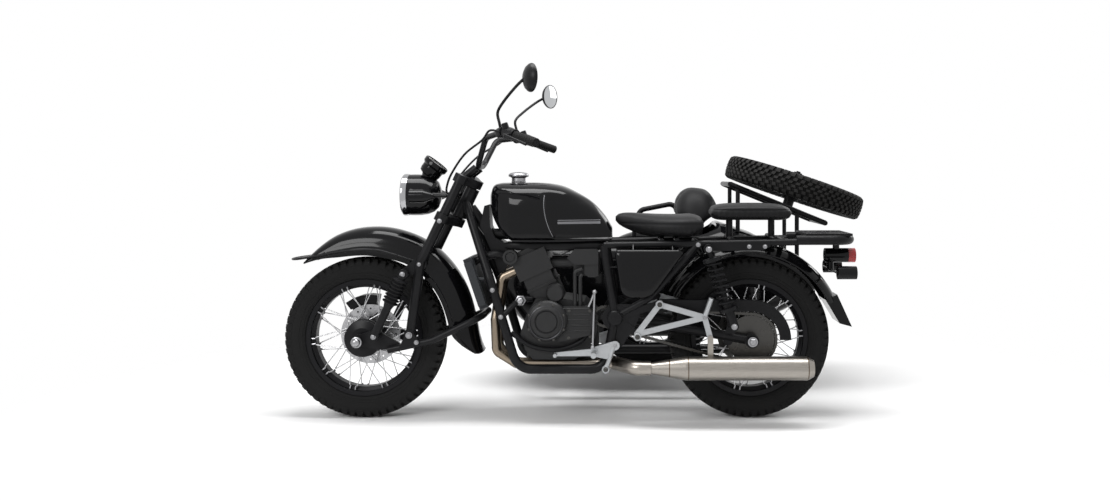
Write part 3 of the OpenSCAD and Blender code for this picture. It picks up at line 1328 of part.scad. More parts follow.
module sidecar_wheel() color("#2a2b2d") stand() {
    wire_wheel(side_axle);
}

main_frame();
radiator();
engine_case();
engine_head();
fuel_tank();
fuel_cap();
side_covers();
saddle();
pillion_pad();
rear_rack();
rear_fender();
rear_lamps();
tail_lens();
swingarm();
rear_shocks();
chain_guard();
drive_chain();
exhaust_pipe();
silencer();
footrests();
pillion_brackets();
sidecar_chassis();
sidecar_tub();
sidecar_seat();
sidecar_rail();
sidecar_fender();
sidecar_arm();
boot_hinge();
boot_lid();
lid_hinge();
spare_rack();
spare_tyre();
spare_wheel();
fork();
leading_link();
front_shocks();
front_fender();
headlight();
headlight_lens();
handlebar();
grips();
bar_controls();
mirrors();
mirror_glass();
front_indicators();
front_tyre();
front_wheel();
front_disc();
rear_tyre();
rear_wheel();
rear_sprocket();
sidecar_tyre();
sidecar_wheel();
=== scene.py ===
import json
import math

import bmesh
import bpy
from mathutils import Matrix, Vector


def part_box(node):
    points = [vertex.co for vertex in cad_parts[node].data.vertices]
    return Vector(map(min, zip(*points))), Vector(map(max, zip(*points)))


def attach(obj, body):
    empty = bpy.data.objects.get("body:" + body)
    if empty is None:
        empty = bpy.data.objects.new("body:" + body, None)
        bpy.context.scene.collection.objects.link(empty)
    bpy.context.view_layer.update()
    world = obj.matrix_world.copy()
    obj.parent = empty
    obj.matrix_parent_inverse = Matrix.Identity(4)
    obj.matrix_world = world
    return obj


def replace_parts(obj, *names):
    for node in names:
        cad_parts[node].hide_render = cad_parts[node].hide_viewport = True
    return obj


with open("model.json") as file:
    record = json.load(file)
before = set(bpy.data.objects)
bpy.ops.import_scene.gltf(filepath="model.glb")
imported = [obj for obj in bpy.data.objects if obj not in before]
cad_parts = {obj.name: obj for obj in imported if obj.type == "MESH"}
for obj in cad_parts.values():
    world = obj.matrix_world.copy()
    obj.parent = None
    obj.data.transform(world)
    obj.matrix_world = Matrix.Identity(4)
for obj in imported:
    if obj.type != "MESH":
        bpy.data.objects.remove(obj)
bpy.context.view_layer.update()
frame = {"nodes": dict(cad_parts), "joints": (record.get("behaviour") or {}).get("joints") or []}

# Camera. It stands level and square to the machine's left side, four metres from its mid-plane,
# a little behind its middle and as high as the top of the tank, and is shifted to frame it.
PHOTO_W = 1110
PHOTO_H = 500
FOCAL_PX = 950
AXIS_PX = (630, 177.3)
SENSOR_W = 36
CAMERA_AT = (1107, -4000, 1003)
MM = 0.001
joints = {j["name"]: j for j in frame["joints"]}
front_axle = Vector(joints["front_spin"]["pos_m"])


def at(x, y, z):
    """A place given in millimetres rearward of the front axle, to the right of the mid-plane and up."""
    return Vector((front_axle.x + x * MM, front_axle.y + y * MM, z * MM))


lens = bpy.data.cameras.new("photo_camera")
lens.sensor_width = SENSOR_W
lens.lens = lens.sensor_width * FOCAL_PX / PHOTO_W
lens.shift_x = (PHOTO_W / 2 - AXIS_PX[0]) / PHOTO_W
lens.shift_y = (AXIS_PX[1] - PHOTO_H / 2) / PHOTO_W
camera = bpy.data.objects.new("photo_camera", lens)
camera.location = at(*CAMERA_AT)
camera.rotation_euler = (math.radians(90), 0, 0)
bpy.context.scene.collection.objects.link(camera)
bpy.context.scene.camera = camera
bpy.context.scene.view_settings.view_transform = "Standard"


# Studio. A pale paper floor that fades into a white room, one broad lamp overhead
# and two large soft boxes, one beside the camera and one behind the machine.
class Look:
    """One socket among a material's nodes; arithmetic on it adds Math nodes beside it."""

    def __init__(self, tree, socket):
        self.tree = tree
        self.socket = socket

    def node(self, kind, sockets, settings=None, out=0):
        made = self.tree.nodes.new("ShaderNode" + kind)
        for name, value in (settings or {}).items():
            setattr(made, name, value)
        for name, value in sockets.items():
            if isinstance(value, Look):
                self.tree.links.new(value.socket, made.inputs[name])
            else:
                made.inputs[name].default_value = value
        return Look(self.tree, made.outputs[out])

    def maths(self, operation, *values):
        return self.node("Math", dict(enumerate(values)), {"operation": operation})

    def __add__(self, other):
        return self.maths("ADD", self, other)

    def __sub__(self, other):
        return self.maths("SUBTRACT", self, other)

    def __rsub__(self, other):
        return self.maths("SUBTRACT", other, self)

    def __mul__(self, other):
        return self.maths("MULTIPLY", self, other)

    def __gt__(self, other):
        return self.maths("GREATER_THAN", self, other)

    def __lt__(self, other):
        return self.maths("LESS_THAN", self, other)

    __radd__ = __add__
    __rmul__ = __mul__

    def vector(self, operation, other, out=0):
        return self.node("VectorMath", {0: self, 1: other}, {"operation": operation}, out)

    def axis(self, index):
        return self.node("SeparateXYZ", {0: self}, out=index)

    def noise(self, scale, detail=3.0):
        return self.node("TexNoise", {"Vector": self, "Scale": scale, "Detail": detail})

    def cells(self, scale):
        return self.node("TexVoronoi", {"Vector": self, "Scale": scale})

    def stretched(self, x, y, z):
        return self.node("Mapping", {"Vector": self, "Scale": (x, y, z)})

    def within(self, low, high):
        return (self > low) * (self < high)

    def colours(self, a, b):
        a, b = (c if isinstance(c, Look) else (*c, 1) for c in (a, b))
        return self.node("Mix", {0: self, 6: a, 7: b}, {"data_type": "RGBA"}, out=2)

    def eased(self, low, high):
        return self.node("MapRange", {"Value": self, "From Min": low, "From Max": high},
                         {"interpolation_type": "SMOOTHSTEP"})

    def bump(self, depth, strength=1.0):
        return self.node("Bump", {"Height": self, "Distance": depth, "Strength": strength})


def finish(name, colour, roughness, vary=None, even=None):
    """A material: even values sit on the shader's own sockets, and vary(place) gives those that change."""
    material = bpy.data.materials.new(name)
    material.use_nodes = True
    tree = material.node_tree
    shader = tree.nodes["Principled BSDF"]
    shader.inputs["Base Color"].default_value = (*colour, 1)
    shader.inputs["Roughness"].default_value = roughness
    for socket, value in (even or {}).items():
        shader.inputs[socket].default_value = value
    if vary:
        place = Look(tree, tree.nodes.new("ShaderNodeTexCoord").outputs["Object"])
        for socket, look in vary(place).items():
            tree.links.new(look.socket, shader.inputs[socket])
    return material


FLOOR_HALF = 9.0
FLOOR_CLEAR = (1.5, 2.6)
bpy.ops.mesh.primitive_plane_add(size=2 * FLOOR_HALF, location=(0, 0, 0))
floor = bpy.context.object
floor.name = "studio_floor"
paper = finish("floor_paper", (0.93, 0.93, 0.93), 0.9,
               lambda p: {"Normal": p.noise(180).bump(0.0004, 0.3)})
tree = paper.node_tree
ground = Look(tree, tree.nodes.new("ShaderNodeTexCoord").outputs["Object"])
fade = ground.vector("LENGTH", (0, 0, 0), out=1).eased(*FLOOR_CLEAR)
clear = tree.nodes.new("ShaderNodeBsdfTransparent")
faded = tree.nodes.new("ShaderNodeMixShader")
tree.links.new(fade.socket, faded.inputs["Fac"])
tree.links.new(tree.nodes["Principled BSDF"].outputs[0], faded.inputs[1])
tree.links.new(clear.outputs[0], faded.inputs[2])
tree.links.new(faded.outputs[0], tree.nodes["Material Output"].inputs["Surface"])
floor.data.materials.append(paper)

ROOM_LIGHT = 0.45
world = bpy.data.worlds.new("white_room")
bpy.context.scene.world = world
world.use_nodes = True
tree = world.node_tree
ray = tree.nodes.new("ShaderNodeLightPath")
seen = Look(tree, ray.outputs["Is Camera Ray"]) + Look(tree, ray.outputs["Is Transmission Ray"])
mirrored = Look(tree, ray.outputs["Is Glossy Ray"])
strength = seen.maths("MINIMUM", seen + mirrored, 1.0) * (1 - ROOM_LIGHT) + ROOM_LIGHT
tree.nodes["Background"].inputs["Color"].default_value = (1, 1, 1, 1)
tree.links.new(strength.socket, tree.nodes["Background"].inputs["Strength"])

# columns: name, place in metres, size across and along, watts, point that it faces
LAMPS = [
    ("overhead_lamp", (0.0, -0.5, 3.2), (3.0, 1.2), 120, (0.0, 0.0, 0.4)),
    ("camera_side_box", (-2.4, -3.4, 2.4), (1.8, 1.4), 75, (0.0, 0.0, 0.6)),
    ("rear_box", (2.8, 2.6, 2.4), (2.0, 1.6), 45, (0.0, 0.2, 0.6)),
]
for name, place, size, watts, aim in LAMPS:
    light = bpy.data.lights.new(name, "AREA")
    light.shape = "RECTANGLE"
    light.size, light.size_y = size
    light.energy = watts
    lamp = bpy.data.objects.new(name, light)
    lamp.location = place
    lamp.rotation_euler = (Vector(aim) - Vector(place)).to_track_quat("-Z", "Y").to_euler()
    bpy.context.scene.collection.objects.link(lamp)


# Frame and steel tube work. Welded round tube, powder coated in satin black:
# the solids carry the shape, and the coat has a fine grain and slightly uneven sheen.
def coat(*nodes, material):
    """Gives solids of the frame their finish."""
    for node in nodes:
        solid = frame["nodes"][node]
        solid.data.materials.clear()
        solid.data.materials.append(material)


def powder(place):
    grain = place.noise(900, 2)
    sheen = place.noise(14)
    return {"Roughness": 0.26 + sheen * 0.2, "Normal": grain.bump(0.0003, 0.2),
            "Base Color": sheen.colours((0.004, 0.004, 0.0045), (0.011, 0.011, 0.012))}


LOW_SHEEN = {"Specular IOR Level": 0.13}
satin_black = finish("satin_black", (0.008, 0.008, 0.009), 0.35, powder, LOW_SHEEN)
coat("main_frame", "swingarm", "rear_rack", "sidecar_chassis", "sidecar_arm", "spare_rack",
     "sidecar_rail", "handlebar", "fork", "leading_link", "bar_controls", "mirrors",
     "front_shocks", "rear_shocks", "chain_guard", "boot_hinge", "lid_hinge", material=satin_black)


# Wire wheels. Black steel rims and hubs, each laced with forty bright crossed spokes that screw into
# plated nipples in the rim's well; a black cover is bolted to the outer face of each turning hub.
def turned(bm, rows, n, stand=Matrix(), closed=False):
    """Adds a surface turned about the Z axis of a stand, from rows of radius and height."""
    rings = []
    for r, h in rows:
        turns = [2 * math.pi * i / n for i in range(n if r > 0 else 1)]
        rings.append([bm.verts.new(stand @ Vector((r * math.cos(a), r * math.sin(a), h))) for a in turns])
    skin(bm, rings + rings[:1] if closed else rings, n)


def skin(bm, rings, n):
    """Joins rings of n points, or single points, by faces."""
    for a, b in zip(rings, rings[1:]):
        for i in range(n):
            j = (i + 1) % n
            corners = [a[i % len(a)], a[j % len(a)], b[j % len(b)], b[i % len(b)]]
            bm.faces.new(list(dict.fromkeys(corners)))


def stand_on(place, axis):
    """A stand at a place whose Z axis points along a direction."""
    return Matrix.Translation(place) @ Vector(axis).to_track_quat("Z", "Y").to_matrix().to_4x4()


def sheet_metal(name, bm, material, sharp=35):
    """Turns a mesh's faces outward, shades it smooth up to an angle in degrees and gives it its finish."""
    bmesh.ops.recalc_face_normals(bm, faces=bm.faces)
    mesh = bpy.data.meshes.new(name)
    bm.to_mesh(mesh)
    bm.free()
    mesh.polygons.foreach_set("use_smooth", [True] * len(mesh.polygons))
    mesh.set_sharp_from_angle(angle=math.radians(sharp))
    mesh.materials.append(material)
    return mesh


def fitted(name, mesh, body, stand=Matrix()):
    """Puts a mesh on a body of the machine as a piece of its own."""
    made = bpy.data.objects.new(name, mesh)
    made.matrix_world = stand
    bpy.context.scene.collection.objects.link(made)
    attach(made, body)
    return made


def piece(name, bm, material, body, sharp=35):
    """Finishes a mesh and puts it on a body under its own name."""
    return fitted(name, sheet_metal(name, bm, material, sharp), body)


UPRIGHT = Matrix.Rotation(math.radians(-90), 4, "X")
SPARE_DEG = 18.6
SPARE_AT = at(1890.7, 560.25, 953.2)
SPARE_TILT = Matrix.Rotation(math.radians(SPARE_DEG), 4, "Y")
rear_axle = Vector(joints["rear_spin"]["pos_m"])
sidecar_axle = Vector(joints["sidecar_spin"]["pos_m"])
# columns: wheel, body, its middle, turn from lying flat
WHEELS = [("front", "wheel_front", front_axle, UPRIGHT), ("rear", "wheel_rear", rear_axle, UPRIGHT),
          ("sidecar", "wheel_sidecar", sidecar_axle, UPRIGHT), ("spare", "chassis", SPARE_AT, SPARE_TILT)]
HUB_EDGE = 0.079
RIM_EDGE = 0.2065


def laced(middle, turn):
    """The finish of a whole wheel: bright between hub and rim, black elsewhere."""
    axle = tuple(turn.to_3x3() @ Vector((0, 0, 1)))

    def by_radius(place):
        out = place.vector("SUBTRACT", tuple(middle))
        along = out.vector("DOT_PRODUCT", axle, out=1)
        far = out.vector("DOT_PRODUCT", out, out=1) - along * along
        spoke = far.within(HUB_EDGE ** 2, RIM_EDGE ** 2)
        sheen = place.noise(30)
        return {"Base Color": spoke.colours((0.006, 0.006, 0.007), (0.5, 0.5, 0.51)),
                "Metallic": spoke, "Roughness": 0.24 + sheen * 0.18 - spoke * 0.06}
    return by_radius


def worn_steel(place):
    return {"Roughness": 0.22 + place.noise(40) * 0.15}


METAL = {"Metallic": 1.0}
SPOKE_N = 40
SPOKE_LEAN = math.radians(42)
NIPPLE = [(0, 0), (0.0036, 0), (0.0036, 0.008), (0.0029, 0.016), (0, 0.016)]
NIPPLE_R = 0.2237
NIPPLE_Y = 0.0327
nipple_plate = finish("nipple_plate", (0.26, 0.26, 0.27), 0.35, worn_steel, METAL)
bm = bmesh.new()
for side in (-1, 1):
    for i in range(SPOKE_N // 2):
        lean = SPOKE_LEAN if i % 2 == 0 else -SPOKE_LEAN
        turn = (i + side / 4) * 4 * math.pi / SPOKE_N + lean
        tip = Vector((math.cos(turn), -math.sin(turn), 0))
        turned(bm, NIPPLE, 8, stand_on(NIPPLE_R * tip + Vector((0, 0, side * NIPPLE_Y)), -tip))
nipples = sheet_metal("nipples", bm, nipple_plate)
for wheel, body, middle, turn in WHEELS:
    coat(wheel + "_wheel", material=finish(wheel + "_wheel_black", (0.007, 0.007, 0.008), 0.3,
                                           laced(middle, turn), LOW_SHEEN))
    fitted(wheel + "_nipples", nipples, body, Matrix.Translation(middle) @ turn)


def bolt(bm, place, axis, r):
    """A washer and a hexagon head with a chamfered top, seated at a place."""
    stand = stand_on(place, axis)
    turned(bm, [(0, 0), (1.35 * r, 0), (1.35 * r, 0.22 * r), (0, 0.22 * r)], 18, stand)
    turned(bm, [(0, 0.2 * r), (r, 0.2 * r), (r, 0.75 * r), (0.86 * r, 0.9 * r), (0, 0.9 * r)], 6, stand)


LEFT = Vector((0, -1, 0))
RIGHT = Vector((0, 1, 0))
HUB_FACE = 0.0362
HUB_COVER = [(0.024, 0.004), (0.064, 0.004), (0.074, 0), (0.078, 0.002), (0.078, 0.012), (0.072, 0.017),
             (0.05, 0.019), (0.044, 0.0225), (0.026, 0.0235), (0.024, 0.021)]
HUB_BOLTS = 5
HUB_BOLT_OUT = 0.061
HUB_BOLT_UP = 0.018
HUB_BOLT_R = 0.0055
cover_black = finish("cover_black", (0.012, 0.012, 0.013), 0.4, powder, LOW_SHEEN)
for wheel, body, middle, _ in WHEELS[:3]:
    bm = bmesh.new()
    side = RIGHT if wheel == "sidecar" else LEFT
    face = middle + HUB_FACE * side
    turned(bm, HUB_COVER, 72, stand_on(face, side), closed=True)
    for i in range(HUB_BOLTS):
        a = 2 * math.pi * (i + 0.25) / HUB_BOLTS
        out = HUB_BOLT_OUT * Vector((math.cos(a), 0, math.sin(a)))
        bolt(bm, face + HUB_BOLT_UP * side + out, side, HUB_BOLT_R)
    piece(wheel + "_hub_cover", bm, cover_black, body)

dark_steel = finish("oiled_steel", (0.06, 0.058, 0.055), 0.4, worn_steel, {"Metallic": 0.85})
coat("rear_sprocket", "drive_chain", material=dark_steel)
coat("front_disc", material=finish("disc_steel", (0.4, 0.4, 0.41), 0.35, worn_steel, METAL))


# Tyres. Cross-country pattern in black rubber: a ribbed side wall and six rows of moulded blocks,
# of which the outer two run down over the edge of the tread.
DUSTY_R = (0.316, 0.334)


def matt_rubber(place):
    far = place.vector("MULTIPLY", (1, 1, 0)).vector("LENGTH", (0, 0, 0), out=1)
    dust = place.noise(26, 4) * far.eased(*DUSTY_R)
    return {"Normal": place.noise(700, 3).bump(0.0004, 0.3), "Roughness": 0.7 + place.noise(20) * 0.15,
            "Base Color": dust.colours((0.009, 0.009, 0.009), (0.034, 0.033, 0.032))}


TREAD_N = 60
# columns: radius and distance from the middle, in millimetres, from the bead to the crown
SIDE_WALL = [(229, 37.2), (243, 37.2), (247, 45), (252, 48.4), (255, 49.6), (256, 51), (259, 51.2),
             (260, 50.2), (268, 51.6), (269, 52.8), (271, 53), (272, 52), (286, 53.6), (298, 53.4),
             (306, 52.2), (313, 49.6), (318, 44), (321.5, 31), (323, 14)]
# each row of blocks: its outline as distance from the middle and radius, part of a pitch that it starts at
# and covers, and how far its outer edge lags
BLOCKS = [([(2, 320), (2, 334.6), (13, 334.2), (13, 320)], 0.0, 0.62, 0.12),
          ([(16.5, 320), (16.5, 334), (30, 332.6), (30, 318)], 0.5, 0.6, 0.16),
          ([(33.5, 318), (33.5, 332), (45, 329), (53, 318), (54.4, 301), (51, 297), (44, 312)],
           0.04, 0.64, 0.08)]
BLOCK_FOOT = 318
BLOCK_H = 16
BLOCK_TAPER = 0.12
rubber = finish("tyre_rubber", (0.012, 0.012, 0.012), 0.75, matt_rubber, LOW_SHEEN)
bm = bmesh.new()
wall = [(r * MM, y * MM) for r, y in SIDE_WALL]
turned(bm, wall + [(r, -y) for r, y in reversed(wall)], 144, closed=True)
pitch = 2 * math.pi / TREAD_N
for outline, start, cover, lag in BLOCKS:
    for side in (-1, 1):
        for i in range(TREAD_N):
            ends = []
            for share in (0, 0.5, 1):
                ring = []
                for y, r in outline:
                    out = (y - outline[0][0]) / (outline[-2][0] - outline[0][0])
                    tuck = (0.5 - share) * BLOCK_TAPER * (r - BLOCK_FOOT) / BLOCK_H
                    stagger = 0.5 if side > 0 else 0
                    a = (i + start + stagger + cover * share + lag * out + tuck) * pitch
                    ring.append(bm.verts.new((r * MM * math.cos(a), r * MM * math.sin(a), side * y * MM)))
                ends.append(ring)
            skin(bm, ends, len(outline))
            bm.faces.new(ends[0])
            bm.faces.new(ends[-1])
tyre = sheet_metal("treaded_tyre", bm, rubber, sharp=28)
for wheel, body, middle, turn in WHEELS:
    made = fitted(wheel + "_treaded_tyre", tyre, body, Matrix.Translation(middle) @ turn)
    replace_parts(made, wheel + "_tyre")


# Fork and leading link. The wheel hangs from two links ahead of the fork's feet; pivots and dampers
# are held by plated bolts, a domed nut closes each end of the axle, and the dampers wear black ribs.
OUTSIDE = 1.6


def seat(node, x, z, side):
    """Where a line straight in from one side of the machine first meets a solid."""
    hit, place, _, _ = frame["nodes"][node].ray_cast(at(x, 0, z) + OUTSIDE * side, -side)
    if not hit:
        raise ValueError(f"nothing of {node} lies across from {x}, {z}")
    return place


def beside(side, x, y, z):
    """A place on the left, where side is -1, or on the right, where it is 1."""
    return at(x, side * y, z)


plated = finish("plated_steel", (0.3, 0.3, 0.31), 0.35, worn_steel, METAL)
SHOCK_TOP = (187, 611)
SHOCK_FOOT = (70, 358)
SHOCK_Y = 150
AXLE = (0, 335)
# columns: solid, rearward, up, radius of the head, in millimetres
FORK_BOLTS = [("leading_link", 210, 362, 10), ("leading_link", *SHOCK_FOOT, 8), ("fork", *SHOCK_TOP, 8),
              ("leading_link", 240, 333, 7), ("fork", 334, 826, 7), ("fork", 249, 649, 6)]
DOME = [(0, -0.002), (0.022, -0.002), (0.022, 0.004), (0.018, 0.006), (0.018, 0.013), (0.015, 0.019),
        (0.009, 0.0235), (0, 0.025)]
bpy.context.view_layer.update()
bm = bmesh.new()
for node, x, z, r in FORK_BOLTS:
    for side in (LEFT, RIGHT):
        bolt(bm, seat(node, x, z, side), side, r * MM)
for side in (LEFT, RIGHT):
    turned(bm, DOME, 40, stand_on(seat("leading_link", *AXLE, side), side))
piece("fork_bolts", bm, plated, "steering")

RIB = [(0.0235, -0.0055), (0.0325, -0.0015), (0.0325, 0.0015), (0.0235, 0.0055)]
RIB_SHARES = [0.1 + 0.05 * k for k in range(8)]
bm = bmesh.new()
for side in (-1, 1):
    top, foot = (beside(side, x, SHOCK_Y, z) for x, z in (SHOCK_TOP, SHOCK_FOOT))
    for share in RIB_SHARES:
        turned(bm, RIB, 40, stand_on(top.lerp(foot, share), foot - top), closed=True)
piece("shock_ribs", bm, cover_black, "steering")


# Mudguards, sidecar body and lid. Pressed steel in gloss black under a clear coat; the shapes are the
# solids' own, welded into one skin so that the paint runs smoothly over them.
def smoothed(node, material, body, sharp=38):
    """A piece with a solid's shape, its facets shaded as one skin."""
    bm = bmesh.new()
    bm.from_mesh(frame["nodes"][node].data)
    bmesh.ops.remove_doubles(bm, verts=bm.verts, dist=0.00002)
    mesh = sheet_metal(node + "_skin", bm, material, sharp)
    for name in ("custom_normal", "sharp_face"):
        if name in mesh.attributes:
            mesh.attributes.remove(mesh.attributes[name])
    mesh.set_sharp_from_angle(angle=math.radians(sharp))
    made = fitted(node + "_skin", mesh, body)
    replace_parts(made, node)


def sprayed(place):
    wave = place.noise(45, 2)
    dust = place.noise(7, 4)
    return {"Roughness": 0.08 + dust * 0.1, "Normal": wave.bump(0.0006, 0.05)}


PAINT = {"Coat Weight": 0.16, "Coat Roughness": 0.03, "Specular IOR Level": 0.1}
PAINT_BLACK = (0.003, 0.003, 0.0035)
gloss_black = finish("gloss_black", PAINT_BLACK, 0.12, sprayed, PAINT)
PAINTED = [("rear_fender", "chassis"), ("sidecar_fender", "chassis"), ("sidecar_tub", "chassis"),
           ("boot_lid", "lid")]
for node, body in PAINTED:
    smoothed(node, gloss_black, body)


# Front mudguard. Deep pressed steel in gloss black: a crown that rises towards the back, full sides,
# and a rolled lip that runs on ahead of the crown as a beak; it is bolted to the fork.
def curve(rows, share):
    """The values at a place along a table of rows, on a smooth curve through them."""
    k = max(i for i in range(len(rows) - 1) if rows[i][0] <= share or i == 0)
    near = [rows[max(0, min(len(rows) - 1, k + d))] for d in (-1, 0, 1, 2)]
    span = rows[k + 1][0] - rows[k][0]
    t = (share - rows[k][0]) / span
    x = [row[0] for row in near]
    values = []
    for c in range(1, len(rows[0])):
        p = [row[c] for row in near]
        m1 = (p[2] - p[0]) / (x[2] - x[0]) * span
        m2 = (p[3] - p[1]) / (x[3] - x[1]) * span
        values.append((2 * t ** 3 - 3 * t ** 2 + 1) * p[1] + (t ** 3 - 2 * t ** 2 + t) * m1
                      + (3 * t ** 2 - 2 * t ** 3) * p[2] + (t ** 3 - t ** 2) * m2)
    return values


def rod(bm, points, d, n=12, steps=6):
    """Adds a round bar or hose of one diameter on a smooth line through places."""
    rows = [(k, *p) for k, p in enumerate(points)]
    path = [Vector(curve(rows, k / steps)) for k in range(steps * (len(points) - 1))]
    path.append(Vector(points[-1]))
    side = (path[1] - path[0]).orthogonal()
    rings = []
    for k, place in enumerate(path):
        ahead = (path[min(k + 1, len(path) - 1)] - path[max(k - 1, 0)]).normalized()
        side = (side - ahead * side.dot(ahead)).normalized()
        up = ahead.cross(side)
        turns = [2 * math.pi * i / n for i in range(n)]
        rings.append([bm.verts.new(place + d / 2 * (math.cos(a) * side + math.sin(a) * up)) for a in turns])
    skin(bm, rings, n)
    bm.faces.new(rings[0])
    bm.faces.new(rings[-1])
    return path


# columns: degrees round the axle from straight behind, radius of the crown and of the lip in millimetres
GUARD_ROWS = [(-7, 499, 472), (-4, 487, 432), (2, 473, 394), (12, 467, 383), (30, 472, 384),
              (54, 477, 386), (72, 471, 373), (83, 465, 369), (104, 446, 368), (120, 416, 384),
              (127, 401, 392)]
# columns: part of the half width, part of the way from crown to lip
GUARD_SECTION = [(0, 0), (0.28, 0.02), (0.55, 0.09), (0.76, 0.22), (0.9, 0.42), (0.965, 0.66), (0.98, 0.86),
                 (1.03, 0.91), (1.035, 0.985), (0.985, 1.01), (0.965, 1.05), (0.96, 1.24)]
GUARD_HALF = 0.09
GUARD_T = 0.003
GUARD_STATIONS = 84
first, last = GUARD_ROWS[0][0], GUARD_ROWS[-1][0]
section = [(-w, d) for w, d in reversed(GUARD_SECTION[1:])] + GUARD_SECTION
bm = bmesh.new()
rings = []
for k in range(GUARD_STATIONS + 1):
    deg = first + (last - first) * k / GUARD_STATIONS
    crown, lip = curve(GUARD_ROWS, deg)
    a = math.radians(deg)
    spots = [(w * GUARD_HALF, (crown + d * (lip - crown)) * MM) for w, d in section]
    rings.append([bm.verts.new(front_axle + Vector((r * math.cos(a), y, r * math.sin(a)))) for y, r in spots])
for a, b in zip(rings, rings[1:]):
    for i in range(len(a) - 1):
        bm.faces.new((a[i], a[i + 1], b[i + 1], b[i]))
bmesh.ops.recalc_face_normals(bm, faces=bm.faces)
bmesh.ops.solidify(bm, geom=bm.faces[:], thickness=GUARD_T)
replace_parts(piece("front_mudguard", bm, gloss_black, "steering", 50), "front_fender")

# columns: rearward, to the side, up
BEAK = [(227, 92, 656), (113, 92, 692), (45, 92, 705), (-92, 92, 697), (-196, 92, 677), (-258, 86, 667),
        (-294, 52, 663)]
BEAK_TIP = (-304, 0, 662)
LIP_D = 0.0095
BRACKET_AT = (249, 0, 686)
BRACKET_Y = (0.07, 0.097)
BRACKET_D = 0.02
LIP_BOLTS = [(-150, 686), (149, 680)]
LIP_FACE = 0.0912
LIP_BOLT_R = 0.006
bm = bmesh.new()
left, right = ([beside(side, *p) for p in BEAK] for side in (-1, 1))
rod(bm, left + [at(*BEAK_TIP)] + right[::-1], LIP_D, 10)
for side in (LEFT, RIGHT):
    rod(bm, [at(*BRACKET_AT) + y * side for y in BRACKET_Y], BRACKET_D, 16, 2)
    for x, z in LIP_BOLTS:
        bolt(bm, at(x, 0, z) + LIP_FACE * side, side, LIP_BOLT_R)
# a plate closes the beak between the lip's two sides
PLATE_TIP = (-303, 0, 662)
PLATE_HALF = 1.5
ahead = BEAK[4:]
beak = [(x, -y, z) for x, y, z in ahead] + [PLATE_TIP] + ahead[::-1]
rings = [[bm.verts.new(at(x, y, z + lift)) for x, y, z in beak] for lift in (-PLATE_HALF, PLATE_HALF)]
skin(bm, rings, len(beak))
bm.faces.new(rings[0])
bm.faces.new(rings[1])
piece("front_mudguard_lip", bm, satin_black, "steering")


# Headlamp and dial. A gloss black bowl with a bright ring and a fluted glass, held to the fork by two
# bent arms; the round instrument leans on a short neck above it, with plain marks round its face.
LAMP_FRONT = at(157.3, 0, 929.3)
RING_DEPTH = 0.024


def bowl(place):
    ring = place.axis(0) < LAMP_FRONT.x + RING_DEPTH
    dust = place.noise(9, 3)
    return {"Base Color": ring.colours(PAINT_BLACK, (0.36, 0.36, 0.37)), "Metallic": ring,
            "Roughness": 0.07 + dust * 0.08}


BOWL = [(0, 0.016), (0.079, 0.016), (0.08, 0), (0.084, -0.001), (0.088, 0.004), (0.0885, 0.014),
        (0.0865, 0.022), (0.0852, 0.026), (0.0862, 0.045), (0.0855, 0.075), (0.081, 0.104), (0.071, 0.127),
        (0.054, 0.144), (0.03, 0.153), (0, 0.156)]
DIAL_AT = at(290.5, 0, 1055.8)
DIAL_LEAN = math.radians(38)
DIAL_TILT = Vector((math.sin(DIAL_LEAN), 0, math.cos(DIAL_LEAN)))
POD = [(0, -0.056), (0.034, -0.056), (0.042, -0.051), (0.0455, -0.038), (0.046, -0.018), (0.05, -0.0145),
       (0.054, -0.009), (0.0545, 0.006), (0.0525, 0.0105), (0.0485, 0.0105), (0.0475, 0.006), (0, 0.006)]
POD_NECK_DOWN = 0.045
POD_NECK_D = 0.06
POD_FOOT = (258, 0, 985)
LAMP_ARM = [(235, 60, 929), (340, 66, 929), (384, 78, 929), (384, 98.6, 929)]
LAMP_ARM_D = 0.022
lamp_black = finish("lamp_bowl", PAINT_BLACK, 0.1, bowl, PAINT)
bm = bmesh.new()
turned(bm, BOWL, 96, stand_on(LAMP_FRONT, (1, 0, 0)))
turned(bm, POD, 72, stand_on(DIAL_AT, DIAL_TILT))
rod(bm, [DIAL_AT - POD_NECK_DOWN * DIAL_TILT, at(*POD_FOOT)], POD_NECK_D, 24, 2)
for side in (-1, 1):
    rod(bm, [beside(side, *p) for p in LAMP_ARM], LAMP_ARM_D, 16)
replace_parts(piece("headlamp_bowl", bm, lamp_black, "steering", 30), "headlight")


def fluted(place):
    ridges = place.maths("SINE", place.axis(1) * 420)
    return {"Normal": ridges.bump(0.001, 0.5), "Roughness": 0.05 + place.noise(30) * 0.05}


lamp_glass = finish("lamp_glass", (0.75, 0.78, 0.8), 0.08, fluted, {"Metallic": 0.55})
coat("headlight_lens", material=lamp_glass)

dial_white = finish("dial_marks", (0.75, 0.75, 0.72), 0.5, worn_steel)
DIAL_MARKS = 25
DIAL_START = 225
DIAL_SWEEP = 270
MARK_OUT = 0.043
MARK_UP = 0.0062
MARK_R = 0.0008
face = stand_on(DIAL_AT, DIAL_TILT).to_3x3()
bm = bmesh.new()
for i in range(DIAL_MARKS):
    a = math.radians(DIAL_START - DIAL_SWEEP * i / (DIAL_MARKS - 1))
    out = face @ Vector((math.cos(a), math.sin(a), 0))
    long = 0.008 if i % 4 == 0 else 0.004
    turned(bm, [(0, 0), (MARK_R, 0), (MARK_R, long), (0, long)], 4,
           stand_on(DIAL_AT + MARK_UP * DIAL_TILT + MARK_OUT * out, -out))
piece("dial_marks", bm, dial_white, "steering")


